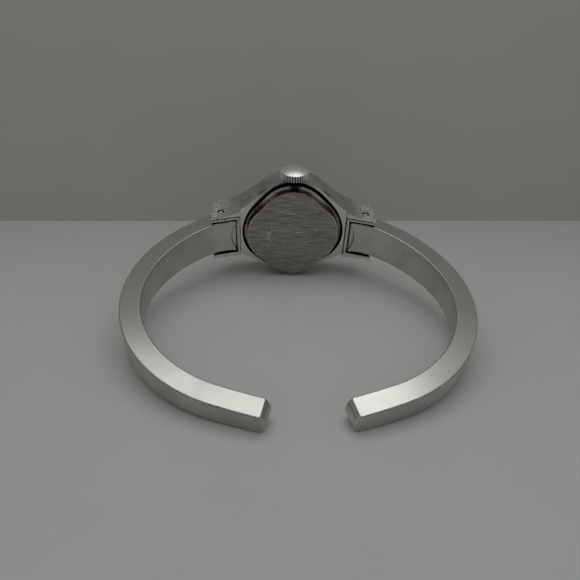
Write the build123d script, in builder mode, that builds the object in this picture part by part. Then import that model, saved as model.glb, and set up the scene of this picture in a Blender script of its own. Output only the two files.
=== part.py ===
from build123d import *
import os
from math import acos, asin, atan, atan2, cos, degrees, hypot, radians, sin, sqrt

os.makedirs("parts", exist_ok=True)

# A cuff watch: a small hand-wound watch whose case is the front of a rigid bangle, with two
# hinged arms that run round the wrist and leave a mouth between their free ends.
# The watch lies on its side with the crown up. Its own directions are: x from 6 to 12 o'clock,
# depth from the case back towards the dial, height from 9 to 3 o'clock (along the crown).
# Millimetres and degrees throughout.

# Arms, seen along the crown: three tangent bends from the hinge pin to the free end
pin_depth = 0.85
pin_radius = 0.4
pin_recess = 0.12
arm_thickness = 3.27
arm_root_half_width = 3.29
arm_taper_angle = 2.17
arm_heading = 30.6
first_bend_radius = 26.64
first_bend_angle = 41.6
second_bend_radius = 22.38
second_bend_angle = 86.9
last_bend_radius = 96.2
last_bend_angle = 4.15
root_bend_radius = 8.0
root_bend_heading = 37.6
tail_length = 2.85
arm_edge_radius = 0.18
arm_end_radius = 0.3
arm_end_reach = 0.6
arm_end_dome = 0.75
tail_corner_radius = 0.5
tail_relief_length = 0.9
tail_relief_depth = 0.08
tail_groove_width = 0.22
tail_groove_depth = 0.7
tail_relief_width = 5.6
pin_clearance = 0.04

# Case: bell-shaped wings, prongs at both ends, a snap back
case_half_height = 10.4
pin_to_end = 1.6
shoulder_radius = 8.9
flank_angle = 38.0
hollow_radius = 8.0
prong_half_height = 4.6
prong_inner_depth = 0.0
prong_outer_depth = -1.8
prong_front_depth = 4.2
case_rear_depth = 2.6
case_rear_rise = 1.7
front_flat_half_length = 8.0
notch_wall = 0.35
notch_to_pin = 3.7
notch_ceiling_depth = 2.78
pin_sink_radius = 0.62
pin_sink_depth = 0.22

# Case back: a cup pressed over a neck of the case; its outline is a square that stands on
# one corner, with widely rounded corners
back_thickness = 0.8
back_side_corner_bulge = 0.55
back_top_corner_bulge = 0.9
back_rim_growth = 0.35
back_wall = 0.31
back_rim_depth = 2.85
back_flange_thickness = 0.2
back_flange_width = 0.22
back_flange_depth = 1.7
back_turn = 2.5
back_edge_chamfer = 0.15
back_gasket_thickness = 0.2
neck_wall = 0.3
neck_start_depth = 1.7
snap_clearance = 0.04
recess_slant_growth = 1.1
recess_side_growth = 1.0
recess_top_growth = 0.7

# Hinge brackets and their springs
bracket_sheet = 0.35
bracket_gap = 0.1
bracket_side_clearance = 0.4
bracket_corner_radius = 0.5
bracket_inner_depth = -0.3
bracket_outer_depth = -1.9
bracket_front_depth = 2.6
spring_sheet = 0.13
spring_width = 2.2
spring_length = 5.4

# Crown, stem and case tube; the stem axis is the line of the crown
stem_depth = 4.4
crown_radius = 2.7
crown_height = 1.1
crown_dome = 0.55
crown_gap = 0.07
crown_flutes = 32
crown_flute_radius = 0.19
crown_pull = 0.6
tube_radius = 0.95
tube_bore = 0.6
tube_rise = 0.42
gasket_width = 0.2
gasket_height = 0.25
gasket_gap = 0.04
stem_radius = 0.45
stem_groove_radius = 0.28
stem_groove_width = 0.36
stem_square = 0.62
stem_pilot_radius = 0.24
stem_pilot_length = 0.6
shaft_clearance = 0.03

# Dial side of the case
bore_radius = 7.75
opening_radius = 6.9
crystal_radius = 7.25
crystal_seat = 0.6
crystal_dome = 1.0
crystal_wall = 0.8
dial_thickness = 0.3
dial_gap = 0.15
dial_to_crystal = 0.75
dial_foot_radius = 0.3
dial_foot_length = 0.6
dial_foot_reach = 6.6
marker_length = 1.2
marker_width = 0.3
marker_height = 0.15
dial_ring_width = 0.35
fit_gap = 0.02

# Movement: a round hand-wound movement of about 6 3/4 lignes
movement_radius = 7.6
bridge_radius = 7.0
stem_to_dial_side = 1.4
plate_thickness = 1.5
train_room = 1.0
bridge_thickness = 0.6
winding_wheel_thickness = 0.25
ring_wall = 0.55
foot_radius = 0.55
layer_gap = 0.1
motion_gap = 0.05
post_radius = 0.15
stud_radius = 0.1
stem_block_half_width = 1.7
pallet_bridge_length = 1.7
pallet_bridge_thickness = 0.22
screw_depth = 0.8
screw_head_radius = 0.34
screw_head_height = 0.22
screw_shank_radius = 0.18
screw_slot = 0.09
jewel_radius = 0.36
jewel_thickness = 0.28
pivot_radius = 0.09
pivot_length = 0.2
centre_arbor_radius = 0.2
barrel_pivot_radius = 0.32
barrel_pivot_length = 0.35
arbor_radius = 0.16
pivot_clearance = 0.02
wheel_thickness = 0.12
spoke_width = 0.25
spoke_count = 5
spoke_hole_share = 0.55
spiral_steps = 16
escape_tooth_shares = [0.68, 1.0, 0.97, 0.7]
escape_turn_shares = [0.0, 0.45, 0.62, 0.5]
tooth_height_share = 0.9
tooth_root_share = 1.1
tooth_tip_share = 0.22
tooth_base_share = 0.6

# Going train: teeth, tooth sizes (pitch diameter over teeth) and places
barrel_teeth = 72
centre_pinion_teeth = 12
barrel_module = 0.086
centre_teeth = 64
third_pinion_teeth = 8
centre_module = 0.085
third_teeth = 60
fourth_pinion_teeth = 8
third_module = 0.078
fourth_teeth = 60
escape_pinion_teeth = 6
fourth_module = 0.07
escape_teeth = 15
escape_radius = 1.35
barrel_angle = 160.6
third_angle = 25.0
fourth_angle = -64.7
escape_angle = -115.7
balance_place_x = -1.25
balance_place_z = -3.95
balance_radius = 2.3
balance_rim_width = 0.3
balance_rim_height = 0.2
pallet_reach_share = 1.155
drum_clearance = 0.14
drum_thickness = 1.15
drum_floor = 0.12
drum_cover = 0.12
drum_rim = 0.15
barrel_tooth_band = 0.25
mainspring_turns = 6
mainspring_sheet = 0.12
hairspring_turns = 5
hairspring_sheet = 0.05
hairspring_height = 0.12
hairspring_outer = 1.15
hairspring_inner = 0.35
stud_turn = 70
curb_turn = 40
curb_pin_radius = 0.04
regulator_radius = 0.5
regulator_boss = 0.25
regulator_tail = 1.6
roller_radius = 0.3
impulse_reach = 0.26
impulse_pin_radius = 0.04
fork_slot = 0.12
pallet_arm_length = 0.84
pallet_arm_angle = 111
pallet_arm_width = 0.16
pallet_stone = 0.1
pallet_stone_angle = 31.8
regulator_tail_turn = 120
lever_bar_width = 0.14

# Winding and setting work
ratchet_module = 0.1
ratchet_teeth = 56
crown_wheel_teeth = 32
crown_ring_wall = 0.25
contrate_teeth = 20
crown_hub_radius = 0.9
crown_ring_radius = 1.48
crown_ring_height = 0.34
click_reach = 3.5
click_angle = 108
click_nose_angle = 94
click_lift = 1.5
click_hub_radius = 0.375
winding_pinion_radius = 1.28
winding_pinion_teeth = 16
winding_pinion_start = 5.0
winding_pinion_length = 0.9
castle_radius = 0.85
castle_teeth = 14
castle_length = 1.1
castle_groove = 0.3
castle_groove_radius = 0.6
face_tooth = 0.12
groove_start = 6.2
setting_module = 0.075
setting_teeth = 24
minute_teeth = 36
minute_pinion_teeth = 10
cannon_teeth = 12
hour_teeth = 40
cannon_tube_radius = 0.36
hour_tube_wall = 0.16
lever_thickness = 0.25
lever_length = 2.0
lever_pin_radius = 0.12
yoke_length = 2.4
lever_width = 0.7
yoke_spring_offset = 0.75
yoke_spring_length = 2.0
yoke_spring_width = 0.1

# Hands
hour_hand_length = 3.6
minute_hand_length = 5.6
hand_width = 0.45
hand_thickness = 0.1
hand_hub_radius = 0.75
hand_stack = 0.7
shown_hour = 10
shown_minute = 8

# Outlines of the two large bridges, as shares of the bridge radius
barrel_bridge_shares = [
    (-0.15, -0.16),
    (-0.02, 0.22),
    (0.8, 0.82),
    (0.8, 1.2),
    (-1.2, 1.2),
    (-1.2, -0.19),
]
train_bridge_shares = [
    (-0.1, -0.15),
    (0.01, 0.19),
    (0.84, 0.8),
    (1.2, 0.8),
    (1.2, -0.68),
    (0.25, -0.68),
    (0.18, -0.3),
]

overrun = 1.0

# Depths of the layers, all from the stem axis, the dial and the case back
plate_front = stem_depth + stem_to_dial_side
plate_rear = plate_front - plate_thickness
bridge_front = plate_rear - train_room
bridge_rear = bridge_front - bridge_thickness
wheel_rear = bridge_rear - winding_wheel_thickness
dial_rear = plate_front + dial_gap
dial_front = dial_rear + dial_thickness
cannon_front = dial_front + hand_stack
crystal_rear = dial_front + dial_to_crystal
case_front_depth = crystal_rear + crystal_seat
back_rim_end = back_rim_depth + back_gasket_thickness
crown_ring_front = bridge_rear + crown_ring_height
castle_top = winding_pinion_start - face_tooth

# Outline of the back and places along the case, from the bore outwards
back_side_reach = bore_radius + neck_wall + snap_clearance + back_wall
back_half_width = back_side_reach + back_side_corner_bulge
back_half_height = back_side_reach + back_top_corner_bulge
recess_reach = back_side_reach + recess_slant_growth
recess_half_width = back_half_width + recess_side_growth
recess_half_height = back_half_height + recess_top_growth
notch_reach = recess_half_width + notch_wall
pin_reach = notch_reach + notch_to_pin
case_half_length = pin_reach + pin_to_end


def polar(reach, angle):
    return (reach * cos(radians(angle)), reach * sin(radians(angle)))


def bend_point(centre, radius, heading):
    """Point of an arc where the arm heads down from +x by the given angle"""
    return (
        centre[0] + radius * sin(radians(heading)),
        centre[1] + radius * cos(radians(heading)),
    )


def bend_arc(centre, radius, start_heading, end_heading):
    """Arc of an arm's outline between two headings"""
    middle = (start_heading + end_heading) / 2
    return ThreePointArc(
        bend_point(centre, radius, start_heading),
        bend_point(centre, radius, middle),
        bend_point(centre, radius, end_heading),
    )


first_end = arm_heading + first_bend_angle
second_end = first_end + second_bend_angle
last_end = second_end + last_bend_angle
first_centre = bend_point((pin_reach, pin_depth), -first_bend_radius, arm_heading)
second_centre = bend_point(first_centre, first_bend_radius - second_bend_radius, first_end)
last_centre = bend_point(second_centre, second_bend_radius - last_bend_radius, second_end)
half_thickness = arm_thickness / 2
end_corner = bend_point(last_centre, last_bend_radius + half_thickness, last_end)
end_half_width = arm_root_half_width + end_corner[1] * sin(radians(arm_taper_angle))

rest_tilt = degrees(atan((case_half_height - end_half_width) / (case_rear_depth - end_corner[1])))
rest_lift = case_half_height * cos(radians(rest_tilt)) - case_rear_depth * sin(radians(rest_tilt))
front_reach = case_front_depth * cos(radians(rest_tilt)) + case_half_height * sin(radians(rest_tilt))
end_reach = -end_corner[1] * cos(radians(rest_tilt)) + end_half_width * sin(radians(rest_tilt))
rest = Location((0, (end_reach - front_reach) / 2, rest_lift), (rest_tilt, 0, 0))

back_plane = Plane(rest * Plane.XZ.location)
ring_plane = Plane(rest)
side_plane = Plane(rest * Plane.YZ.location)


def level(depth):
    """Plane parallel to the dial at a depth; its normal points out of the case back"""
    return back_plane.offset(-depth)


def spot(depth, place, turn=0):
    """Plane parallel to the dial, centred on a place and turned about its normal"""
    return Plane(level(depth) * Location((place[0], place[1], 0), (0, 0, turn)))


def across(height):
    """Plane square to the stem at a height above the centre of the dial"""
    return ring_plane.offset(height)


def stem_spot(height, turn=0):
    """Plane square to the stem, centred on the stem axis"""
    return Plane(across(height) * Location((0, stem_depth, 0), (0, 0, turn)))


def save(piece, name):
    piece.part.label = name
    export_step(piece.part, f"parts/{name}.step")


def rounded_diamond(reach, half_width, half_height, turn=0):
    """Square on one corner, its corners rounded so that it has the given half width and height"""
    square = Rectangle(2 * reach, 2 * reach, rotation=45 + turn)
    side_radius = (sqrt(2) * reach - half_width) / (sqrt(2) - 1)
    top_radius = (sqrt(2) * reach - half_height) / (sqrt(2) - 1)
    corners = square.vertices().sort_by(Axis.X)
    rounded = fillet([corners[0], corners[-1]], side_radius)
    corners = rounded.vertices().sort_by(Axis.Y)
    return fillet([corners[0], corners[-1]], top_radius)


def back_outline(growth=0):
    """Outline of the case back, which sits slightly turned, grown on all sides"""
    return rounded_diamond(
        back_side_reach + growth, back_half_width + growth, back_half_height + growth, back_turn
    )


def tooth_points(teeth, module):
    """Outline of a toothed wheel with straight-sided teeth, one tooth on the x axis"""
    pitch_radius = teeth * module / 2
    tip = pitch_radius + module * tooth_height_share
    root = pitch_radius - module * tooth_root_share
    step = 360 / teeth
    points = []
    for tooth in range(teeth):
        middle = tooth * step
        points.append(polar(root, middle - step * tooth_base_share / 2))
        points.append(polar(tip, middle - step * tooth_tip_share / 2))
        points.append(polar(tip, middle + step * tooth_tip_share / 2))
        points.append(polar(root, middle + step * tooth_base_share / 2))
    return points


def mesh_turn(driver_turn, driver_teeth, direction, teeth):
    """Turn that puts a gap of the second wheel on a tooth of the first"""
    pitches = (direction - driver_turn) * driver_teeth / 360
    share = pitches - int(pitches)
    return direction + 180 + (share + 0.5) * 360 / teeth


def angle_between(start, end):
    return degrees(atan2(end[1] - start[1], end[0] - start[0]))


def shifted(place, reach, angle):
    step = polar(reach, angle)
    return (place[0] + step[0], place[1] + step[1])


# Places of the wheels, from their teeth
centre = (0, 0)
barrel_distance = (barrel_teeth + centre_pinion_teeth) * barrel_module / 2
third_distance = (centre_teeth + third_pinion_teeth) * centre_module / 2
fourth_distance = (third_teeth + fourth_pinion_teeth) * third_module / 2
escape_distance = (fourth_teeth + escape_pinion_teeth) * fourth_module / 2
barrel_place = polar(barrel_distance, barrel_angle)
third_place = polar(third_distance, third_angle)
fourth_place = shifted(third_place, fourth_distance, fourth_angle)
escape_place = shifted(fourth_place, escape_distance, escape_angle)
balance_place = (balance_place_x, balance_place_z)
lever_angle = angle_between(escape_place, balance_place)
pallet_place = shifted(escape_place, escape_radius * pallet_reach_share, lever_angle)
lever_reach = hypot(balance_place[0] - pallet_place[0], balance_place[1] - pallet_place[1])
wind_distance = (ratchet_teeth + crown_wheel_teeth) * ratchet_module / 2
click_place = shifted(barrel_place, click_reach, click_angle)
crown_wheel_place = (0, barrel_place[1] + sqrt(wind_distance**2 - barrel_place[0] ** 2))

# Case: a bar with the side profile, cut to the bell-shaped outline
shoulder_end = (
    shoulder_radius * sin(radians(flank_angle)),
    case_half_height - shoulder_radius * (1 - cos(radians(flank_angle))),
)
hollow_start_height = prong_half_height + hollow_radius * (1 - cos(radians(flank_angle)))
flank_run = (shoulder_end[1] - hollow_start_height) / sin(radians(flank_angle))
hollow_start = (shoulder_end[0] + flank_run * cos(radians(flank_angle)), hollow_start_height)
hollow_end = (hollow_start[0] + hollow_radius * sin(radians(flank_angle)), prong_half_height)
hollow_middle = (
    hollow_end[0] - hollow_radius * sin(radians(flank_angle / 2)),
    prong_half_height + hollow_radius * (1 - cos(radians(flank_angle / 2))),
)
crown_flat_height = case_half_height + crown_gap
notch_half_height = arm_root_half_width + bracket_side_clearance + bracket_sheet + bracket_gap

with BuildPart() as case_body:
    with BuildSketch(ring_plane):
        with BuildLine():
            ThreePointArc(
                (-notch_reach, case_rear_depth - case_rear_rise),
                (0, case_rear_depth),
                (notch_reach, case_rear_depth - case_rear_rise),
            )
            Polyline(
                (notch_reach, case_rear_depth - case_rear_rise),
                (notch_reach, prong_inner_depth),
                (case_half_length, prong_outer_depth),
                (case_half_length, prong_front_depth),
            )
            TangentArc(
                (front_flat_half_length, case_front_depth),
                (case_half_length, prong_front_depth),
                tangent=(1, 0),
            )
            Line(
                (front_flat_half_length, case_front_depth),
                (-front_flat_half_length, case_front_depth),
            )
            TangentArc(
                (-front_flat_half_length, case_front_depth),
                (-case_half_length, prong_front_depth),
                tangent=(-1, 0),
            )
            Polyline(
                (-case_half_length, prong_front_depth),
                (-case_half_length, prong_outer_depth),
                (-notch_reach, prong_inner_depth),
                (-notch_reach, case_rear_depth - case_rear_rise),
            )
        make_face()
    extrude(amount=case_half_height, both=True)
    with BuildSketch(level(case_front_depth + overrun)):
        with BuildLine():
            ThreePointArc(
                (0, case_half_height),
                (
                    shoulder_radius * sin(radians(flank_angle / 2)),
                    case_half_height - shoulder_radius * (1 - cos(radians(flank_angle / 2))),
                ),
                shoulder_end,
            )
            Line(shoulder_end, hollow_start)
            ThreePointArc(hollow_start, hollow_middle, hollow_end)
            Polyline(hollow_end, (case_half_length, prong_half_height), (case_half_length, 0))
            mirror(about=Plane.XZ)
            mirror(about=Plane.YZ)
        make_face()
    extrude(amount=case_front_depth - prong_outer_depth + 2 * overrun, mode=Mode.INTERSECT)
    # Recess round the neck that the back snaps over
    with BuildSketch(level(back_rim_end)):
        rounded_diamond(recess_reach, recess_half_width, recess_half_height)
    extrude(amount=back_rim_end - prong_outer_depth + overrun, mode=Mode.SUBTRACT)
    with BuildSketch(level(back_rim_end)):
        back_outline(-back_wall - snap_clearance)
    extrude(amount=back_rim_end - neck_start_depth)
    # Bore for the movement and the dial, opening for the crystal
    with BuildSketch(level(dial_front)):
        Circle(bore_radius)
    extrude(amount=dial_front + overrun, mode=Mode.SUBTRACT)
    with BuildSketch(level(case_front_depth)):
        Circle(opening_radius)
    extrude(amount=case_front_depth, mode=Mode.SUBTRACT)
    with BuildSketch(level(case_front_depth)):
        Circle(crystal_radius + fit_gap)
    extrude(amount=crystal_seat, mode=Mode.SUBTRACT)
    # Notches for the arms
    with BuildSketch(level(notch_ceiling_depth)):
        with Locations((-case_half_length, 0), (case_half_length, 0)):
            Rectangle(2 * (case_half_length - notch_reach), 2 * notch_half_height)
    extrude(amount=notch_ceiling_depth - prong_outer_depth + overrun, mode=Mode.SUBTRACT)
    # Holes for the hinge pins, sunk where they show
    with BuildSketch(across(-prong_half_height)):
        with Locations((-pin_reach, pin_depth), (pin_reach, pin_depth)):
            Circle(pin_radius + fit_gap)
    extrude(amount=2 * prong_half_height, mode=Mode.SUBTRACT)
    with BuildSketch(across(prong_half_height - pin_sink_depth), across(-prong_half_height)):
        with Locations((-pin_reach, pin_depth), (pin_reach, pin_depth)):
            Circle(pin_sink_radius)
    extrude(amount=pin_sink_depth, mode=Mode.SUBTRACT)
    # Hole for the case tube
    with BuildSketch(across(bore_radius - overrun)):
        with Locations((0, stem_depth)):
            Circle(tube_radius + fit_gap)
    extrude(amount=case_half_height - bore_radius + 2 * overrun, mode=Mode.SUBTRACT)
save(case_body, "case_body")

# Case back: cup with a tapered wall and a thin flange round the wall
with BuildPart() as case_back:
    with BuildSketch(level(back_rim_depth)):
        back_outline(back_rim_growth)
    with BuildSketch(level(back_edge_chamfer)):
        back_outline()
    loft()
    with BuildSketch(level(back_edge_chamfer)):
        back_outline()
    with BuildSketch(level(0)):
        back_outline(-back_edge_chamfer)
    loft()
    with BuildSketch(level(back_flange_depth)):
        back_outline(back_rim_growth + back_flange_width)
    extrude(amount=back_flange_thickness)
    with BuildSketch(level(back_rim_depth)):
        back_outline(-back_wall)
    extrude(amount=back_rim_depth - back_thickness, mode=Mode.SUBTRACT)
save(case_back, "case_back")

# Gasket: flat ring between the back's rim and its seat in the case
with BuildPart() as back_gasket:
    with BuildSketch(level(back_rim_end)):
        back_outline(back_rim_growth)
        with BuildSketch(mode=Mode.SUBTRACT):
            back_outline(-back_wall)
    extrude(amount=back_gasket_thickness)
save(back_gasket, "back_gasket")

# Crystal: domed cap, hollow behind, seated in the front of the case
def dome_middle(foot, reach, rise):
    """Point halfway out on a dome that rises from a foot circle"""
    ball = (reach**2 + rise**2) / (2 * rise)
    return (foot + rise - ball + sqrt(ball**2 - reach**2 / 4), reach / 2)


inner_reach = crystal_radius - crystal_wall
inner_foot = case_front_depth - crystal_wall / 2
inner_rise = case_front_depth + crystal_dome - crystal_wall - inner_foot
with BuildPart() as crystal:
    with BuildSketch(side_plane):
        with BuildLine():
            Polyline(
                (inner_foot, inner_reach),
                (crystal_rear, inner_reach),
                (crystal_rear, crystal_radius),
                (case_front_depth, crystal_radius),
            )
            ThreePointArc(
                (case_front_depth, crystal_radius),
                dome_middle(case_front_depth, crystal_radius, crystal_dome),
                (case_front_depth + crystal_dome, 0),
            )
            Line((case_front_depth + crystal_dome, 0), (inner_foot + inner_rise, 0))
            ThreePointArc(
                (inner_foot + inner_rise, 0),
                dome_middle(inner_foot, inner_reach, inner_rise),
                (inner_foot, inner_reach),
            )
        make_face()
    revolve(axis=Axis(back_plane.origin, back_plane.z_dir))
save(crystal, "crystal")

# Dial ring: slanted ring between the dial and the crystal
dial_ring_front = crystal_rear - fit_gap
with BuildPart() as dial_ring:
    with BuildSketch(side_plane):
        with BuildLine():
            Polyline(
                (dial_front, opening_radius - dial_ring_width),
                (dial_front, opening_radius - fit_gap),
                (dial_ring_front, opening_radius - fit_gap),
                (dial_ring_front, opening_radius - dial_ring_width / 2),
                (dial_front, opening_radius - dial_ring_width),
            )
        make_face()
    revolve(axis=Axis(back_plane.origin, back_plane.z_dir))
save(dial_ring, "dial_ring")

# Dial: disc with two feet behind it
with BuildPart() as dial:
    with BuildSketch(level(dial_front)):
        Circle(bore_radius - fit_gap * 2)
        Circle(cannon_tube_radius + hour_tube_wall + 2 * shaft_clearance + fit_gap, mode=Mode.SUBTRACT)
    extrude(amount=dial_thickness)
    with BuildSketch(level(dial_rear)):
        with PolarLocations(dial_foot_reach, 2, start_angle=20):
            Circle(dial_foot_radius)
    extrude(amount=dial_gap + dial_foot_length)
save(dial, "dial")

# Hour markers: twelve plain batons, the ones at 12, 3, 6 and 9 o'clock doubled in width
marker_reach = opening_radius - dial_ring_width - marker_length
with BuildPart() as hour_markers:
    with BuildSketch(level(dial_front + marker_height)):
        with PolarLocations(marker_reach, 12):
            Rectangle(marker_length, marker_width)
        with PolarLocations(marker_reach, 4):
            Rectangle(marker_length, 2 * marker_width)
    extrude(amount=marker_height)
save(hour_markers, "hour_markers")

# Case tube: the stem's sleeve, fixed in the case and reaching into the crown
tube_end = crown_flat_height + tube_rise
with BuildPart() as case_tube:
    with BuildSketch(stem_spot(bore_radius)):
        Circle(tube_radius)
        Circle(tube_bore, mode=Mode.SUBTRACT)
    extrude(amount=tube_end - bore_radius)
save(case_tube, "case_tube")

# Crown: fluted knob with a shallow dome, hollow over the tube
crown_top = crown_flat_height + crown_height
cavity_radius = tube_radius + gasket_gap + gasket_width
crown_boss = crown_top - tube_end - crown_gap
with BuildPart() as crown:
    with BuildSketch(stem_spot(crown_flat_height)):
        Circle(crown_radius)
        with PolarLocations(crown_radius, crown_flutes):
            Circle(crown_flute_radius, mode=Mode.SUBTRACT)
    extrude(amount=crown_height)
    with BuildSketch(stem_spot(crown_top)):
        Circle(crown_radius - crown_flute_radius)
    extrude(amount=crown_gap)
    with BuildSketch(Plane(side_plane.location * Location((stem_depth, 0, 0)))):
        with BuildLine():
            ThreePointArc(
                (crown_radius - crown_flute_radius, crown_top + crown_gap),
                dome_middle(crown_top + crown_gap, crown_radius - crown_flute_radius, crown_dome)[::-1],
                (0, crown_top + crown_gap + crown_dome),
            )
            Polyline(
                (0, crown_top + crown_gap + crown_dome),
                (0, crown_top + crown_gap),
                (crown_radius - crown_flute_radius, crown_top + crown_gap),
            )
        make_face()
    revolve(axis=Axis(stem_spot(0).origin, ring_plane.z_dir))
    with BuildSketch(stem_spot(crown_flat_height)):
        Circle(cavity_radius)
    extrude(amount=crown_top - crown_boss - crown_flat_height, mode=Mode.SUBTRACT)
    with BuildSketch(stem_spot(crown_top - crown_boss)):
        Circle(stem_radius)
    extrude(amount=crown_boss, mode=Mode.SUBTRACT)
save(crown, "crown")

# Crown gasket: ring inside the crown that seals on the tube
with BuildPart() as crown_gasket:
    with BuildSketch(stem_spot(crown_flat_height + crown_gap)):
        Circle(cavity_radius - fit_gap / 2)
        Circle(tube_radius + gasket_gap, mode=Mode.SUBTRACT)
    extrude(amount=gasket_height)
save(crown_gasket, "crown_gasket")

# Stem: pilot, square for the castle wheel, round for the winding pinion, groove for the lever
square_start = castle_top - castle_length - crown_pull
pinion_end = winding_pinion_start + winding_pinion_length
groove_end = groove_start + stem_groove_width
with BuildPart() as stem:
    with BuildSketch(stem_spot(square_start - stem_pilot_length)):
        Circle(stem_pilot_radius)
    extrude(amount=stem_pilot_length)
    with BuildSketch(stem_spot(square_start)):
        Rectangle(stem_square, stem_square)
    extrude(amount=winding_pinion_start - square_start)
    with BuildSketch(stem_spot(winding_pinion_start)):
        Circle(stem_radius)
    extrude(amount=groove_start - winding_pinion_start)
    with BuildSketch(stem_spot(groove_start)):
        Circle(stem_groove_radius)
    extrude(amount=stem_groove_width)
    with BuildSketch(stem_spot(groove_end)):
        Circle(stem_radius)
    extrude(amount=crown_top - groove_end)
save(stem, "stem")

# Hinge brackets: sheet channels lining the notches, their ears above and below the arm
bracket_back = notch_reach + bracket_gap
bracket_half = notch_half_height - bracket_gap
bracket_end = case_half_length - bracket_gap
with BuildPart() as bracket_right:
    with BuildSketch(level(bracket_front_depth)):
        with Locations(((bracket_back + bracket_end) / 2, 0)):
            Rectangle(bracket_end - bracket_back, 2 * bracket_half)
        with Locations(((bracket_back + bracket_sheet + case_half_length + overrun) / 2, 0)):
            Rectangle(
                case_half_length + overrun - bracket_back - bracket_sheet,
                2 * (bracket_half - bracket_sheet),
                mode=Mode.SUBTRACT,
            )
    extrude(amount=bracket_front_depth - bracket_outer_depth)
    bends = bracket_right.edges().filter_by(Axis(back_plane.origin, back_plane.z_dir))
    fillet(bends.group_by(Axis.X)[0], bracket_corner_radius)
    # Rear edges of the ears, slanted like the prongs
    with BuildSketch(ring_plane):
        with BuildLine():
            Polyline(
                (bracket_back, bracket_front_depth),
                (bracket_back, bracket_inner_depth),
                (bracket_end, bracket_outer_depth),
                (bracket_end, bracket_front_depth),
                close=True,
            )
        make_face()
    extrude(amount=bracket_half, both=True, mode=Mode.INTERSECT)
    with BuildSketch(across(-bracket_half)):
        with Locations((pin_reach, pin_depth)):
            Circle(pin_radius + fit_gap)
    extrude(amount=2 * bracket_half, mode=Mode.SUBTRACT)
save(bracket_right, "bracket_right")
with BuildPart() as bracket_left:
    mirror(bracket_right.part, about=Plane.YZ)
save(bracket_left, "bracket_left")

# Leaf springs: flat on the bracket's base, pressed by the arm's end when the arm opens
spring_back = bracket_back + bracket_sheet
with BuildPart() as arm_spring_right:
    with BuildSketch(level(pin_depth + spring_width / 2)):
        with Locations((spring_back + spring_sheet / 2, 0)):
            Rectangle(spring_sheet, spring_length)
    extrude(amount=spring_width)
save(arm_spring_right, "arm_spring_right")
with BuildPart() as arm_spring_left:
    mirror(arm_spring_right.part, about=Plane.YZ)
save(arm_spring_left, "arm_spring_left")

# Hinge pins, a little short of the case's outer faces
pin_half_length = prong_half_height - pin_recess
with BuildPart() as hinge_pin_right:
    with BuildSketch(across(-pin_half_length)):
        with Locations((pin_reach, pin_depth)):
            Circle(pin_radius)
    extrude(amount=2 * pin_half_length)
save(hinge_pin_right, "hinge_pin_right")
with BuildPart() as hinge_pin_left:
    mirror(hinge_pin_right.part, about=Plane.YZ)
save(hinge_pin_left, "hinge_pin_left")

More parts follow.
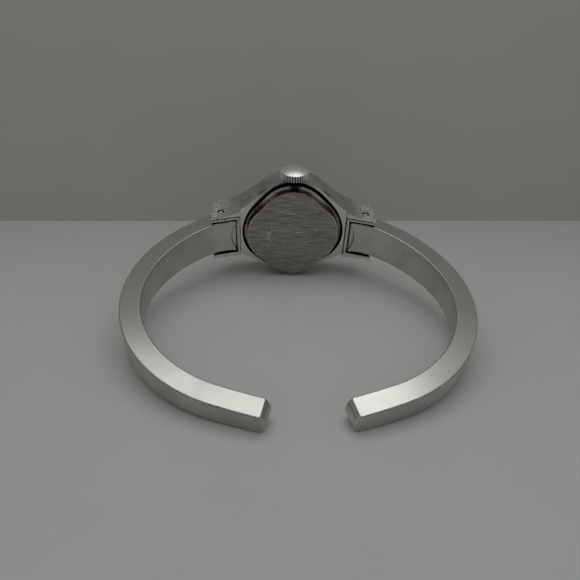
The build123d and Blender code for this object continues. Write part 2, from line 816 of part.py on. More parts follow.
# Arms: one outline along the crown's line of sight, trimmed to slanted upper and lower faces
inner_first = first_bend_radius - half_thickness
root_centre = bend_point(first_centre, inner_first - root_bend_radius, root_bend_heading)
tail_x = pin_reach - tail_length
tail_heading = degrees(asin((tail_x - root_centre[0]) / root_bend_radius))
tail_inner = bend_point(root_centre, root_bend_radius, tail_heading)
outer_start = bend_point(first_centre, first_bend_radius + half_thickness, arm_heading)
relief_radius = tail_relief_length / 2 + tail_relief_width**2 / (8 * tail_relief_length)
tip_heading = last_end + degrees(arm_end_reach / last_bend_radius)
tip_place = bend_point(last_centre, last_bend_radius, tip_heading)
tip_ball_radius = (end_half_width**2 + arm_end_dome**2) / (2 * arm_end_dome)
tip_across = Location((*tip_place, 0), (0, 0, -tip_heading))
tip_plane = Plane(ring_plane * tip_across * Location((0, 0, 0), (90, 0, 0)))
with BuildPart() as arm_right:
    with BuildSketch(ring_plane):
        with BuildLine():
            bend_arc(first_centre, first_bend_radius + half_thickness, arm_heading, first_end)
            bend_arc(second_centre, second_bend_radius + half_thickness, first_end, second_end)
            bend_arc(last_centre, last_bend_radius + half_thickness, second_end, tip_heading)
            Line(
                bend_point(last_centre, last_bend_radius + half_thickness, tip_heading),
                bend_point(last_centre, last_bend_radius - half_thickness, tip_heading),
            )
            bend_arc(last_centre, last_bend_radius - half_thickness, second_end, tip_heading)
            bend_arc(second_centre, second_bend_radius - half_thickness, first_end, second_end)
            bend_arc(first_centre, inner_first, root_bend_heading, first_end)
            bend_arc(root_centre, root_bend_radius, tail_heading, root_bend_heading)
            Polyline(tail_inner, (tail_x, outer_start[1]), outer_start)
        make_face()
    extrude(amount=2 * arm_root_half_width, both=True)
    upright = arm_right.edges().filter_by(Axis(ring_plane.origin, ring_plane.z_dir))
    tail_corner = ring_plane.from_local_coords((tail_x, outer_start[1]))
    fillet(upright.sort_by_distance(tail_corner)[0], tail_corner_radius)
    with BuildSketch(side_plane):
        with BuildLine():
            Polyline(
                (end_corner[1] - overrun, end_half_width - overrun * sin(radians(arm_taper_angle))),
                (pin_reach, arm_root_half_width + pin_reach * sin(radians(arm_taper_angle))),
                (pin_reach, -arm_root_half_width - pin_reach * sin(radians(arm_taper_angle))),
                (end_corner[1] - overrun, overrun * sin(radians(arm_taper_angle)) - end_half_width),
                close=True,
            )
        make_face()
    extrude(amount=2 * second_bend_radius, both=True, mode=Mode.INTERSECT)
    # Domed free end with rounded edges
    with BuildSketch(tip_plane):
        with Locations(((overrun - tip_ball_radius) / 2, 0)):
            Rectangle(tip_ball_radius + overrun, 2 * tip_ball_radius)
        with Locations((-tip_ball_radius, 0)):
            Circle(tip_ball_radius, mode=Mode.SUBTRACT)
    extrude(amount=arm_thickness, both=True, mode=Mode.SUBTRACT)
    tip_face = arm_right.faces().sort_by_distance(tip_plane.origin)[0]
    fillet(tip_face.edges().sort_by(Axis(ring_plane.origin, ring_plane.z_dir))[1:-1], arm_end_radius)
    # Broken edges along the upper and lower faces
    sides = arm_right.faces().sort_by(Axis(ring_plane.origin, ring_plane.z_dir))
    fillet(sides[0].edges() + sides[-1].edges(), arm_edge_radius)
    # Shallow lens-shaped relief in the inner face of the tail, with a groove along its curve
    with BuildSketch(level(tail_inner[1] + tail_relief_depth)):
        with Locations((tail_x + tail_relief_length - relief_radius, 0)):
            Circle(relief_radius)
    extrude(amount=tail_relief_depth + overrun, mode=Mode.SUBTRACT)
    with BuildSketch(level(tail_inner[1] + tail_groove_depth)):
        with Locations((tail_x + tail_relief_length - relief_radius, 0)):
            Circle(relief_radius)
            Circle(relief_radius - tail_groove_width, mode=Mode.SUBTRACT)
    extrude(amount=tail_groove_depth + overrun, mode=Mode.SUBTRACT)
    with BuildSketch(across(-2 * arm_root_half_width)):
        with Locations((pin_reach, pin_depth)):
            Circle(pin_radius + pin_clearance)
    extrude(amount=4 * arm_root_half_width, mode=Mode.SUBTRACT)
save(arm_right, "arm_right")
with BuildPart() as arm_left:
    mirror(arm_right.part, about=Plane.YZ)
save(arm_left, "arm_left")

# Movement ring: holds the movement between the plate and the case back, notched for the stem
with BuildPart() as movement_ring:
    with BuildSketch(level(plate_rear - fit_gap)):
        Circle(movement_radius)
        Circle(movement_radius - ring_wall, mode=Mode.SUBTRACT)
    extrude(amount=plate_rear - back_thickness - 2 * fit_gap)
    with BuildSketch(stem_spot(0)):
        Circle(stem_radius + ring_wall / 2)
    extrude(amount=bore_radius, mode=Mode.SUBTRACT)
save(movement_ring, "movement_ring")

# Places of the bridges' feet and screws
foot_reach = bridge_radius - foot_radius - fit_gap
barrel_bridge_feet = [polar(foot_reach, 191), polar(foot_reach, 118), polar(foot_reach, 56)]
train_bridge_feet = [polar(foot_reach, 6), polar(foot_reach, 39), polar(foot_reach, -34)]
cock_foot = polar(foot_reach, 223)
pallet_foot = shifted(pallet_place, pallet_bridge_length, -80)
screw_places = barrel_bridge_feet + train_bridge_feet + [cock_foot]

# Depths in the train room, from the bridges to the plate
centre_front = bridge_front + layer_gap + wheel_thickness
upper_front = centre_front + layer_gap + wheel_thickness
lower_front = plate_rear - layer_gap
drum_rear = centre_front + layer_gap
drum_front = drum_rear + drum_thickness
pocket_floor = drum_front + layer_gap
balance_front = centre_front + layer_gap + motion_gap + balance_rim_height
pallet_bridge_rear = balance_front - balance_rim_height
drum_radius = barrel_teeth * barrel_module / 2 - drum_clearance

# Depths and places of the motion work and the setting work, behind the dial
castle_low = castle_top - castle_length - crown_pull
setting_rear = stem_depth + castle_radius + motion_gap
setting_front = setting_rear + wheel_thickness
recess_floor = setting_rear - motion_gap
hour_front = plate_front - motion_gap
hour_rear = hour_front - wheel_thickness
setting_radius = setting_teeth * setting_module / 2
minute_reach = (cannon_teeth + minute_teeth) * setting_module / 2
setting_reach = (setting_teeth + minute_teeth) * setting_module / 2
setting_place = (castle_radius / 2, castle_low - setting_radius)
setting_far = hypot(setting_place[0], setting_place[1])
minute_cosine = (setting_far**2 + minute_reach**2 - setting_reach**2) / (2 * setting_far * minute_reach)
minute_angle = angle_between(centre, setting_place) - degrees(acos(minute_cosine))
minute_place = polar(minute_reach, minute_angle)
hour_module = 2 * minute_reach / (hour_teeth + minute_pinion_teeth)
hour_radius = (hour_teeth / 2 + tooth_height_share) * hour_module
minute_radius = (minute_teeth / 2 + tooth_height_share) * setting_module
lever_rear = plate_front - motion_gap - lever_thickness
lever_pin_place = (0, groove_start + stem_groove_width / 2)
lever_pivot = (lever_length, lever_pin_place[1] + crown_pull / 2)
castle_middle = castle_top - castle_length / 2
yoke_pivot = (-yoke_length, castle_middle - crown_pull / 2)
dial_feet = [polar(dial_foot_reach, 20), polar(dial_foot_reach, 200)]
setting_turn = 0
minute_turn = mesh_turn(setting_turn, setting_teeth, angle_between(setting_place, minute_place), minute_teeth)
cannon_turn = mesh_turn(minute_turn, minute_teeth, minute_angle + 180, cannon_teeth)
minute_pinion_turn = minute_turn
hour_turn = mesh_turn(minute_pinion_turn, minute_pinion_teeth, minute_angle + 180, hour_teeth)

# Mainplate: disc with a block for the stem, a pocket for the barrel and recesses dial side
slot_top = winding_pinion_start + winding_pinion_length + motion_gap
slot_low = castle_low - motion_gap
stem_block_end = sqrt(bridge_radius**2 - stem_block_half_width**2)
with BuildPart() as mainplate:
    with BuildSketch(level(plate_front)):
        Circle(movement_radius)
    extrude(amount=plate_thickness)
    with BuildSketch(level(plate_rear)):
        with Locations((0, (winding_pinion_start + stem_block_end) / 2)):
            Rectangle(2 * stem_block_half_width, stem_block_end - winding_pinion_start)
    extrude(amount=train_room)
    with BuildSketch(level(plate_rear)):
        with Locations((0, slot_low - stem_pilot_length / 2)):
            Rectangle(3 * stem_pilot_radius, stem_pilot_length)
    extrude(amount=stem_pilot_radius + layer_gap)
    with BuildSketch(level(pocket_floor)):
        with Locations(barrel_place):
            Circle(drum_radius + layer_gap)
    extrude(amount=pocket_floor - plate_rear, mode=Mode.SUBTRACT)
    with BuildSketch(level(pocket_floor + barrel_pivot_length)):
        with Locations(barrel_place):
            Circle(barrel_pivot_radius + shaft_clearance)
    extrude(amount=barrel_pivot_length, mode=Mode.SUBTRACT)
    with BuildSketch(level(plate_front)):
        Circle(centre_arbor_radius + shaft_clearance)
    extrude(amount=plate_thickness, mode=Mode.SUBTRACT)
    with BuildSketch(level(plate_rear + jewel_thickness)):
        with Locations(third_place, fourth_place, escape_place, pallet_place, balance_place):
            Circle(jewel_radius + fit_gap)
    extrude(amount=jewel_thickness, mode=Mode.SUBTRACT)
    # Slot for the castle wheel and the winding pinion, bores for the stem
    with BuildSketch(level(plate_front)):
        with Locations((0, (slot_low + slot_top) / 2)):
            Rectangle(2 * (castle_radius + layer_gap), slot_top - slot_low)
        with Locations((0, (winding_pinion_start - motion_gap + slot_top) / 2)):
            Rectangle(2 * (winding_pinion_radius + layer_gap), slot_top - winding_pinion_start + motion_gap)
    extrude(amount=plate_front - bridge_front, mode=Mode.SUBTRACT)
    with BuildSketch(stem_spot(slot_top - overrun)):
        Circle(stem_radius + shaft_clearance)
    extrude(amount=bore_radius - slot_top + 2 * overrun, mode=Mode.SUBTRACT)
    with BuildSketch(stem_spot(slot_low - stem_pilot_length - motion_gap)):
        Circle(stem_pilot_radius + shaft_clearance)
    extrude(amount=stem_pilot_length + 2 * motion_gap, mode=Mode.SUBTRACT)
    with BuildSketch(level(lever_rear)):
        with Locations((0, lever_pivot[1])):
            Rectangle(stem_radius + layer_gap, crown_pull + 3 * lever_pin_radius)
    extrude(amount=lever_rear - stem_depth, mode=Mode.SUBTRACT)
    # Recesses for the motion work and the setting work
    with BuildSketch(level(plate_front)):
        with Locations(setting_place):
            Circle(setting_radius + setting_module + layer_gap)
        with Locations(minute_place):
            Circle(minute_radius + layer_gap)
        Circle(cannon_teeth * setting_module / 2 + setting_module + layer_gap)
    extrude(amount=plate_front - recess_floor, mode=Mode.SUBTRACT)
    with BuildSketch(level(plate_front)):
        Circle(hour_radius + layer_gap)
    extrude(amount=plate_front - hour_rear + motion_gap, mode=Mode.SUBTRACT)
    with BuildSketch(level(plate_front)):
        with BuildLine():
            Polyline(
                (yoke_pivot[0] - lever_width, yoke_pivot[1] - lever_width),
                (castle_radius, castle_low),
                (castle_radius, winding_pinion_start - layer_gap),
                (yoke_pivot[0] - lever_width, winding_pinion_start + lever_width),
                close=True,
            )
        make_face()
        with BuildLine():
            Polyline(
                (-castle_radius, lever_pin_place[1] - lever_width),
                (lever_pivot[0] + lever_width, lever_pivot[1] - 2 * lever_width),
                (lever_pivot[0] + lever_width, lever_pivot[1] + lever_width / 2),
                (-castle_radius, lever_pin_place[1] + lever_width + crown_pull / 2),
                close=True,
            )
        make_face()
    extrude(amount=plate_front - lever_rear + motion_gap, mode=Mode.SUBTRACT)
    # Posts for the setting wheel, the minute wheel, the yoke and the setting lever
    with BuildSketch(level(setting_front)):
        with Locations(setting_place, minute_place):
            Circle(post_radius)
    extrude(amount=setting_front - recess_floor)
    with BuildSketch(level(plate_front - motion_gap)):
        with Locations(yoke_pivot, lever_pivot):
            Circle(post_radius)
    extrude(amount=lever_thickness + motion_gap)
    # Holes for the bridge screws and the dial's feet
    with BuildSketch(level(plate_rear + screw_depth)):
        with Locations(*screw_places, pallet_foot):
            Circle(screw_shank_radius + fit_gap)
    extrude(amount=screw_depth + layer_gap, mode=Mode.SUBTRACT)
    with BuildSketch(level(plate_front)):
        with Locations(*dial_feet):
            Circle(dial_foot_radius + fit_gap)
    extrude(amount=dial_foot_length + fit_gap, mode=Mode.SUBTRACT)
save(mainplate, "mainplate")

# Barrel bridge: carries the barrel and the winding wheels, on three feet
with BuildPart() as barrel_bridge:
    with BuildSketch(level(bridge_front)):
        Circle(bridge_radius)
        with BuildLine():
            Polyline(
                *[(bridge_radius * share[0], bridge_radius * share[1]) for share in barrel_bridge_shares],
                close=True,
            )
        make_face(mode=Mode.INTERSECT)
    extrude(amount=bridge_thickness)
    with BuildSketch(level(plate_rear)):
        with Locations(*barrel_bridge_feet):
            Circle(foot_radius)
    extrude(amount=train_room)
    with BuildSketch(level(bridge_front)):
        with Locations(barrel_place):
            Circle(barrel_pivot_radius + shaft_clearance)
        with Locations(crown_wheel_place):
            Circle(screw_shank_radius + fit_gap)
        with Locations((0, (winding_pinion_start + slot_top) / 2)):
            Rectangle(2 * winding_pinion_radius, slot_top - winding_pinion_start + 2 * motion_gap)
    extrude(amount=bridge_thickness, mode=Mode.SUBTRACT)
    with BuildSketch(level(crown_ring_front + motion_gap)):
        with Locations(crown_wheel_place):
            Circle(crown_ring_radius + layer_gap)
            Circle(crown_ring_radius - crown_ring_wall - layer_gap, mode=Mode.SUBTRACT)
    extrude(amount=crown_ring_front + motion_gap - bridge_rear, mode=Mode.SUBTRACT)
    with BuildSketch(level(plate_rear)):
        with Locations(*barrel_bridge_feet):
            Circle(screw_shank_radius + fit_gap)
    extrude(amount=train_room + bridge_thickness, mode=Mode.SUBTRACT)
    with BuildSketch(level(bridge_rear + screw_head_height)):
        with Locations(*barrel_bridge_feet):
            Circle(screw_head_radius + fit_gap)
    extrude(amount=screw_head_height, mode=Mode.SUBTRACT)
    with BuildSketch(level(bridge_rear)):
        with Locations(click_place):
            Circle(post_radius)
    extrude(amount=winding_wheel_thickness)
save(barrel_bridge, "barrel_bridge")

# Train bridge: carries the centre, third, fourth and escape wheels, on three feet
with BuildPart() as train_bridge:
    with BuildSketch(level(bridge_front)):
        Circle(bridge_radius)
        with BuildLine():
            Polyline(
                *[(bridge_radius * share[0], bridge_radius * share[1]) for share in train_bridge_shares],
                close=True,
            )
        make_face(mode=Mode.INTERSECT)
    extrude(amount=bridge_thickness)
    with BuildSketch(level(plate_rear)):
        with Locations(*train_bridge_feet):
            Circle(foot_radius)
    extrude(amount=train_room)
    with BuildSketch(level(bridge_front)):
        with Locations(third_place, fourth_place, escape_place):
            Circle(jewel_radius + fit_gap)
    extrude(amount=jewel_thickness, mode=Mode.SUBTRACT)
    with BuildSketch(level(bridge_front)):
        with Locations(third_place, fourth_place, escape_place, centre):
            Circle(arbor_radius)
    extrude(amount=bridge_thickness, mode=Mode.SUBTRACT)
    with BuildSketch(level(plate_rear)):
        with Locations(*train_bridge_feet):
            Circle(screw_shank_radius + fit_gap)
    extrude(amount=train_room + bridge_thickness, mode=Mode.SUBTRACT)
    with BuildSketch(level(bridge_rear + screw_head_height)):
        with Locations(*train_bridge_feet):
            Circle(screw_head_radius + fit_gap)
    extrude(amount=screw_head_height, mode=Mode.SUBTRACT)
save(train_bridge, "train_bridge")

# Balance cock: a finger over the balance, with an ear that holds the hairspring's stud
cock_angle = angle_between(cock_foot, balance_place)
stud_angle = cock_angle - stud_turn
stud_reach = hairspring_outer + hairspring_sheet / 2 + stud_radius
stud_place = shifted(balance_place, stud_reach, stud_angle)
cock_length = hypot(balance_place[0] - cock_foot[0], balance_place[1] - cock_foot[1])
with BuildPart() as balance_cock:
    with BuildSketch(spot(bridge_front, shifted(cock_foot, cock_length / 2, cock_angle), cock_angle)):
        SlotCenterToCenter(cock_length, 2 * foot_radius)
    extrude(amount=bridge_thickness)
    with BuildSketch(spot(bridge_front, balance_place, stud_angle)):
        with Locations(((stud_radius + hairspring_outer) / 2, 0)):
            Rectangle(hairspring_outer + 5 * stud_radius, 4 * stud_radius)
    extrude(amount=bridge_thickness / 2)
    with BuildSketch(level(centre_front)):
        with Locations(stud_place):
            Circle(stud_radius)
    extrude(amount=centre_front - bridge_front)
    with BuildSketch(level(plate_rear)):
        with Locations(cock_foot):
            Circle(foot_radius)
    extrude(amount=train_room)
    with BuildSketch(level(bridge_rear)):
        with Locations(balance_place):
            Circle(regulator_boss)
    extrude(amount=wheel_thickness + 2 * motion_gap)
    with BuildSketch(level(bridge_front)):
        with Locations(balance_place):
            Circle(jewel_radius + fit_gap)
    extrude(amount=jewel_thickness, mode=Mode.SUBTRACT)
    with BuildSketch(level(plate_rear)):
        with Locations(cock_foot):
            Circle(screw_shank_radius + fit_gap)
    extrude(amount=train_room + bridge_thickness, mode=Mode.SUBTRACT)
    with BuildSketch(level(bridge_rear + screw_head_height)):
        with Locations(cock_foot):
            Circle(screw_head_radius + fit_gap)
    extrude(amount=screw_head_height, mode=Mode.SUBTRACT)
save(balance_cock, "balance_cock")

# Pallet bridge: a small bar on one foot over the pallet arbor
pallet_bridge_angle = angle_between(pallet_place, pallet_foot)
pallet_bridge_front = pallet_bridge_rear + pallet_bridge_thickness
with BuildPart() as pallet_bridge:
    pallet_middle = shifted(pallet_place, pallet_bridge_length / 2, pallet_bridge_angle)
    with BuildSketch(spot(pallet_bridge_front, pallet_middle, pallet_bridge_angle)):
        SlotCenterToCenter(pallet_bridge_length, 4 * stud_radius)
    extrude(amount=pallet_bridge_thickness)
    with BuildSketch(level(plate_rear)):
        with Locations(pallet_foot):
            Circle(screw_head_radius)
    extrude(amount=plate_rear - pallet_bridge_front)
    with BuildSketch(level(plate_rear)):
        with Locations(pallet_foot):
            Circle(screw_shank_radius + fit_gap)
        with Locations(pallet_place):
            Circle(pivot_radius + pivot_clearance)
    extrude(amount=plate_rear - pallet_bridge_rear, mode=Mode.SUBTRACT)
save(pallet_bridge, "pallet_bridge")

# Bridge screws: slotted heads sunk in the bridges, shanks in the plate
screw_end = plate_rear + screw_depth - layer_gap
screw_rears = [bridge_rear] * len(screw_places) + [pallet_bridge_rear - screw_head_height]
with BuildPart() as bridge_screws:
    for screw_place, screw_rear in zip(screw_places + [pallet_foot], screw_rears):
        with BuildSketch(level(screw_rear + screw_head_height)):
            with Locations(screw_place):
                Circle(screw_head_radius)
        extrude(amount=screw_head_height)
        with BuildSketch(level(screw_rear + screw_head_height / 2)):
            with Locations(screw_place):
                Rectangle(3 * screw_head_radius, screw_slot)
        extrude(amount=screw_head_height, mode=Mode.SUBTRACT)
        with BuildSketch(level(screw_end)):
            with Locations(screw_place):
                Circle(screw_shank_radius)
        extrude(amount=screw_end - screw_rear - screw_head_height)
save(bridge_screws, "bridge_screws")

# Jewels: bearing rings pressed in the plate, the train bridge and the balance cock
with BuildPart() as jewels:
    with BuildSketch(level(plate_rear + jewel_thickness)):
        with Locations(third_place, fourth_place, escape_place, pallet_place, balance_place):
            Circle(jewel_radius)
            Circle(pivot_radius + pivot_clearance, mode=Mode.SUBTRACT)
    extrude(amount=jewel_thickness)
    with BuildSketch(level(bridge_front)):
        with Locations(third_place, fourth_place, escape_place, balance_place):
            Circle(jewel_radius)
            Circle(pivot_radius + pivot_clearance, mode=Mode.SUBTRACT)
    extrude(amount=jewel_thickness)
save(jewels, "jewels")

# Going train: each wheel with its pinion, arbor and pivots
pinion_height = wheel_thickness + 2 * motion_gap
third_turn = mesh_turn(0, centre_teeth, third_angle, third_pinion_teeth)
fourth_turn = mesh_turn(third_turn, third_teeth, fourth_angle, fourth_pinion_teeth)
escape_turn = mesh_turn(fourth_turn, fourth_teeth, escape_angle, escape_pinion_teeth)
barrel_turn = mesh_turn(0, centre_pinion_teeth, barrel_angle, barrel_teeth)

with BuildPart() as centre_wheel:
    with BuildSketch(spot(centre_front, centre)):
        Polygon(*tooth_points(centre_teeth, centre_module), align=None)
        with PolarLocations(centre_teeth * centre_module / 4 + spoke_width, spoke_count):
            Circle(spoke_hole_share * centre_teeth * centre_module / 4, mode=Mode.SUBTRACT)
    extrude(amount=wheel_thickness)
    with BuildSketch(spot(lower_front, centre)):
        Polygon(*tooth_points(centre_pinion_teeth, barrel_module), align=None)
    extrude(amount=lower_front - centre_front)
    with BuildSketch(spot(cannon_front, centre)):
        Circle(centre_arbor_radius)
    extrude(amount=cannon_front - bridge_front - motion_gap)
    with BuildSketch(spot(bridge_front + motion_gap, centre)):
        Circle(arbor_radius - pivot_clearance)
    extrude(amount=pivot_length + motion_gap)
save(centre_wheel, "centre_wheel")

with BuildPart() as third_wheel:
    with BuildSketch(spot(lower_front, third_place, third_turn)):
        Polygon(*tooth_points(third_teeth, third_module), align=None)
        with PolarLocations(third_teeth * third_module / 4 + spoke_width, spoke_count):
            Circle(spoke_hole_share * third_teeth * third_module / 4, mode=Mode.SUBTRACT)
    extrude(amount=wheel_thickness)
    with BuildSketch(spot(centre_front + motion_gap, third_place, third_turn)):
        Polygon(*tooth_points(third_pinion_teeth, centre_module), align=None)
    extrude(amount=pinion_height)
    with BuildSketch(spot(plate_rear - motion_gap, third_place)):
        Circle(arbor_radius)
    extrude(amount=train_room - 2 * motion_gap)
    with BuildSketch(spot(plate_rear + pivot_length, third_place)):
        Circle(pivot_radius)
    extrude(amount=train_room + 2 * pivot_length)
save(third_wheel, "third_wheel")

with BuildPart() as fourth_wheel:
    with BuildSketch(spot(upper_front, fourth_place, fourth_turn)):
        Polygon(*tooth_points(fourth_teeth, fourth_module), align=None)
        with PolarLocations(fourth_teeth * fourth_module / 4 + spoke_width, spoke_count):
            Circle(spoke_hole_share * fourth_teeth * fourth_module / 4, mode=Mode.SUBTRACT)
    extrude(amount=wheel_thickness)
    with BuildSketch(spot(lower_front + motion_gap, fourth_place, fourth_turn)):
        Polygon(*tooth_points(fourth_pinion_teeth, third_module), align=None)
    extrude(amount=pinion_height)
    with BuildSketch(spot(plate_rear - motion_gap, fourth_place)):
        Circle(arbor_radius)
    extrude(amount=train_room - 2 * motion_gap)
    with BuildSketch(spot(plate_rear + pivot_length, fourth_place)):
        Circle(pivot_radius)
    extrude(amount=train_room + 2 * pivot_length)
save(fourth_wheel, "fourth_wheel")

with BuildPart() as escape_wheel:
    with BuildSketch(spot(lower_front, escape_place, escape_turn)):
        with BuildLine():
            Polyline(
                *[
                    polar(escape_radius * share, 360 * (tooth + turn) / escape_teeth)
                    for tooth in range(escape_teeth)
                    for share, turn in zip(escape_tooth_shares, escape_turn_shares)
                ],
                close=True,
            )
        make_face()
    extrude(amount=wheel_thickness)
    with BuildSketch(spot(upper_front + motion_gap, escape_place, escape_turn)):
        Polygon(*tooth_points(escape_pinion_teeth, fourth_module), align=None)
    extrude(amount=pinion_height)
    with BuildSketch(spot(plate_rear - motion_gap, escape_place)):
        Circle(arbor_radius)
    extrude(amount=train_room - 2 * motion_gap)
    with BuildSketch(spot(plate_rear + pivot_length, escape_place)):
        Circle(pivot_radius)
    extrude(amount=train_room + 2 * pivot_length)
save(escape_wheel, "escape_wheel")

# Barrel: toothed drum, open at the rear, with its cover, mainspring and arbor
with BuildPart() as barrel:
    with BuildSketch(spot(drum_front, barrel_place)):
        Circle(drum_radius)
    extrude(amount=drum_thickness)
    with BuildSketch(spot(drum_rear + barrel_tooth_band, barrel_place, barrel_turn)):
        Polygon(*tooth_points(barrel_teeth, barrel_module), align=None)
    extrude(amount=barrel_tooth_band - motion_gap)
    with BuildSketch(spot(drum_front - drum_floor, barrel_place)):
        Circle(drum_radius - drum_rim)
    extrude(amount=drum_thickness, mode=Mode.SUBTRACT)
    with BuildSketch(spot(drum_front, barrel_place)):
        Circle(barrel_pivot_radius + shaft_clearance)
    extrude(amount=drum_floor, mode=Mode.SUBTRACT)
save(barrel, "barrel")

with BuildPart() as barrel_cover:
    with BuildSketch(spot(drum_rear + drum_cover, barrel_place)):
        Circle(drum_radius - drum_rim - fit_gap)
        Circle(barrel_pivot_radius + shaft_clearance, mode=Mode.SUBTRACT)
    extrude(amount=drum_cover)
save(barrel_cover, "barrel_cover")

with BuildPart() as barrel_arbor:
    with BuildSketch(spot(pocket_floor + barrel_pivot_length - motion_gap, barrel_place)):
        Circle(barrel_pivot_radius)
    extrude(amount=pocket_floor + barrel_pivot_length - motion_gap - wheel_rear)
    with BuildSketch(spot(drum_front - drum_floor - motion_gap, barrel_place)):
        Circle(barrel_pivot_radius + ring_wall / 2)
    extrude(amount=drum_thickness - drum_floor - drum_cover - 2 * motion_gap)
    with BuildSketch(spot(wheel_rear + bridge_thickness, barrel_place)):
        Circle(screw_shank_radius + fit_gap)
    extrude(amount=bridge_thickness, mode=Mode.SUBTRACT)
save(barrel_arbor, "barrel_arbor")


def spiral_points(turns, inner, outer, sheet, steps):
    """Outline of a flat spiral strip from an inner to an outer radius"""
    count = turns * steps
    inside = []
    outside = []
    for step in range(count + 1):
        reach = inner + (outer - inner) * step / count
        inside.append(polar(reach - sheet / 2, 360 * step / steps))
        outside.append(polar(reach + sheet / 2, 360 * step / steps))
    return outside + inside[::-1]


spring_inner = barrel_pivot_radius + ring_wall / 2 + layer_gap + mainspring_sheet / 2
spring_outer = drum_radius - drum_rim - layer_gap - mainspring_sheet / 2
with BuildPart() as mainspring:
    with BuildSketch(spot(drum_front - drum_floor - motion_gap, barrel_place)):
        Polygon(
            *spiral_points(mainspring_turns, spring_inner, spring_outer, mainspring_sheet, spiral_steps),
            align=None,
        )
    extrude(amount=drum_thickness - drum_floor - drum_cover - 2 * motion_gap)
save(mainspring, "mainspring")

# Winding wheels on the barrel bridge, their screws, the click and its spring
crown_turn = 0
ratchet_side = angle_between(crown_wheel_place, barrel_place)
ratchet_turn = mesh_turn(crown_turn, crown_wheel_teeth, ratchet_side, ratchet_teeth)
with BuildPart() as ratchet_wheel:
    with BuildSketch(spot(bridge_rear - fit_gap, barrel_place, ratchet_turn)):
        Polygon(*tooth_points(ratchet_teeth, ratchet_module), align=None)
        Circle(barrel_pivot_radius + fit_gap, mode=Mode.SUBTRACT)
    extrude(amount=winding_wheel_thickness - fit_gap)
save(ratchet_wheel, "ratchet_wheel")

with BuildPart() as ratchet_screw:
    with BuildSketch(spot(wheel_rear, barrel_place)):
        Circle(2 * screw_head_radius)
    extrude(amount=screw_head_height)
    with BuildSketch(spot(wheel_rear - screw_head_height / 2, barrel_place)):
        Rectangle(5 * screw_head_radius, screw_slot)
    extrude(amount=screw_head_height, mode=Mode.SUBTRACT)
    with BuildSketch(spot(wheel_rear + bridge_thickness - layer_gap, barrel_place)):
        Circle(screw_shank_radius)
    extrude(amount=bridge_thickness - layer_gap)
save(ratchet_screw, "ratchet_screw")

with BuildPart() as crown_wheel:
    with BuildSketch(spot(bridge_rear - fit_gap, crown_wheel_place, crown_turn)):
        Polygon(*tooth_points(crown_wheel_teeth, ratchet_module), align=None)
        Circle(crown_hub_radius, mode=Mode.SUBTRACT)
    extrude(amount=winding_wheel_thickness - fit_gap)
    with BuildSketch(spot(crown_ring_front, crown_wheel_place)):
        Circle(crown_ring_radius)
        Circle(crown_ring_radius - crown_ring_wall, mode=Mode.SUBTRACT)
    extrude(amount=crown_ring_front - bridge_rear + fit_gap)
    with BuildSketch(spot(crown_ring_front, crown_wheel_place, crown_turn)):
        with PolarLocations(crown_ring_radius - crown_ring_wall / 2, contrate_teeth):
            Rectangle(2 * crown_ring_wall, crown_ring_wall)
    extrude(amount=face_tooth, mode=Mode.SUBTRACT)
save(crown_wheel, "crown_wheel")

with BuildPart() as crown_wheel_screw:
    with BuildSketch(spot(wheel_rear - fit_gap, crown_wheel_place)):
        Circle(crown_hub_radius + foot_radius / 2)
    extrude(amount=screw_head_height)
    with BuildSketch(spot(wheel_rear - fit_gap - screw_head_height / 2, crown_wheel_place)):
        Rectangle(3 * crown_hub_radius, screw_slot)
    extrude(amount=screw_head_height, mode=Mode.SUBTRACT)
    with BuildSketch(spot(bridge_rear, crown_wheel_place)):
        Circle(crown_hub_radius - shaft_clearance)
    extrude(amount=winding_wheel_thickness + fit_gap)
    with BuildSketch(spot(bridge_front - layer_gap, crown_wheel_place)):
        Circle(screw_shank_radius)
    extrude(amount=bridge_thickness - layer_gap)
save(crown_wheel_screw, "crown_wheel_screw")

click_tip = shifted(barrel_place, (ratchet_teeth / 2 + click_lift) * ratchet_module, click_nose_angle)
click_nose = angle_between(click_place, click_tip)
click_run = hypot(click_tip[0] - click_place[0], click_tip[1] - click_place[1])
with BuildPart() as click:
    with BuildSketch(spot(bridge_rear - fit_gap, click_place, click_nose)):
        with BuildLine():
            Polyline(
                (0, -2 * post_radius),
                (click_run, -motion_gap),
                (click_run, motion_gap),
                (0, 2 * post_radius),
                close=True,
            )
        make_face()
        Circle(click_hub_radius)
        Circle(post_radius + shaft_clearance, mode=Mode.SUBTRACT)
    extrude(amount=winding_wheel_thickness - 2 * fit_gap)
save(click, "click")

with BuildPart() as click_spring:
    with BuildSketch(spot(bridge_rear, click_place, click_nose)):
        with Locations((click_run / 2, click_hub_radius + post_radius / 2 + motion_gap)):
            Rectangle(3 * click_run / 2, post_radius)
        with Locations((3 * click_run / 2 - motion_gap, click_hub_radius + post_radius / 2 + motion_gap)):
            Circle(2 * post_radius)
    extrude(amount=winding_wheel_thickness - motion_gap)
save(click_spring, "click_spring")

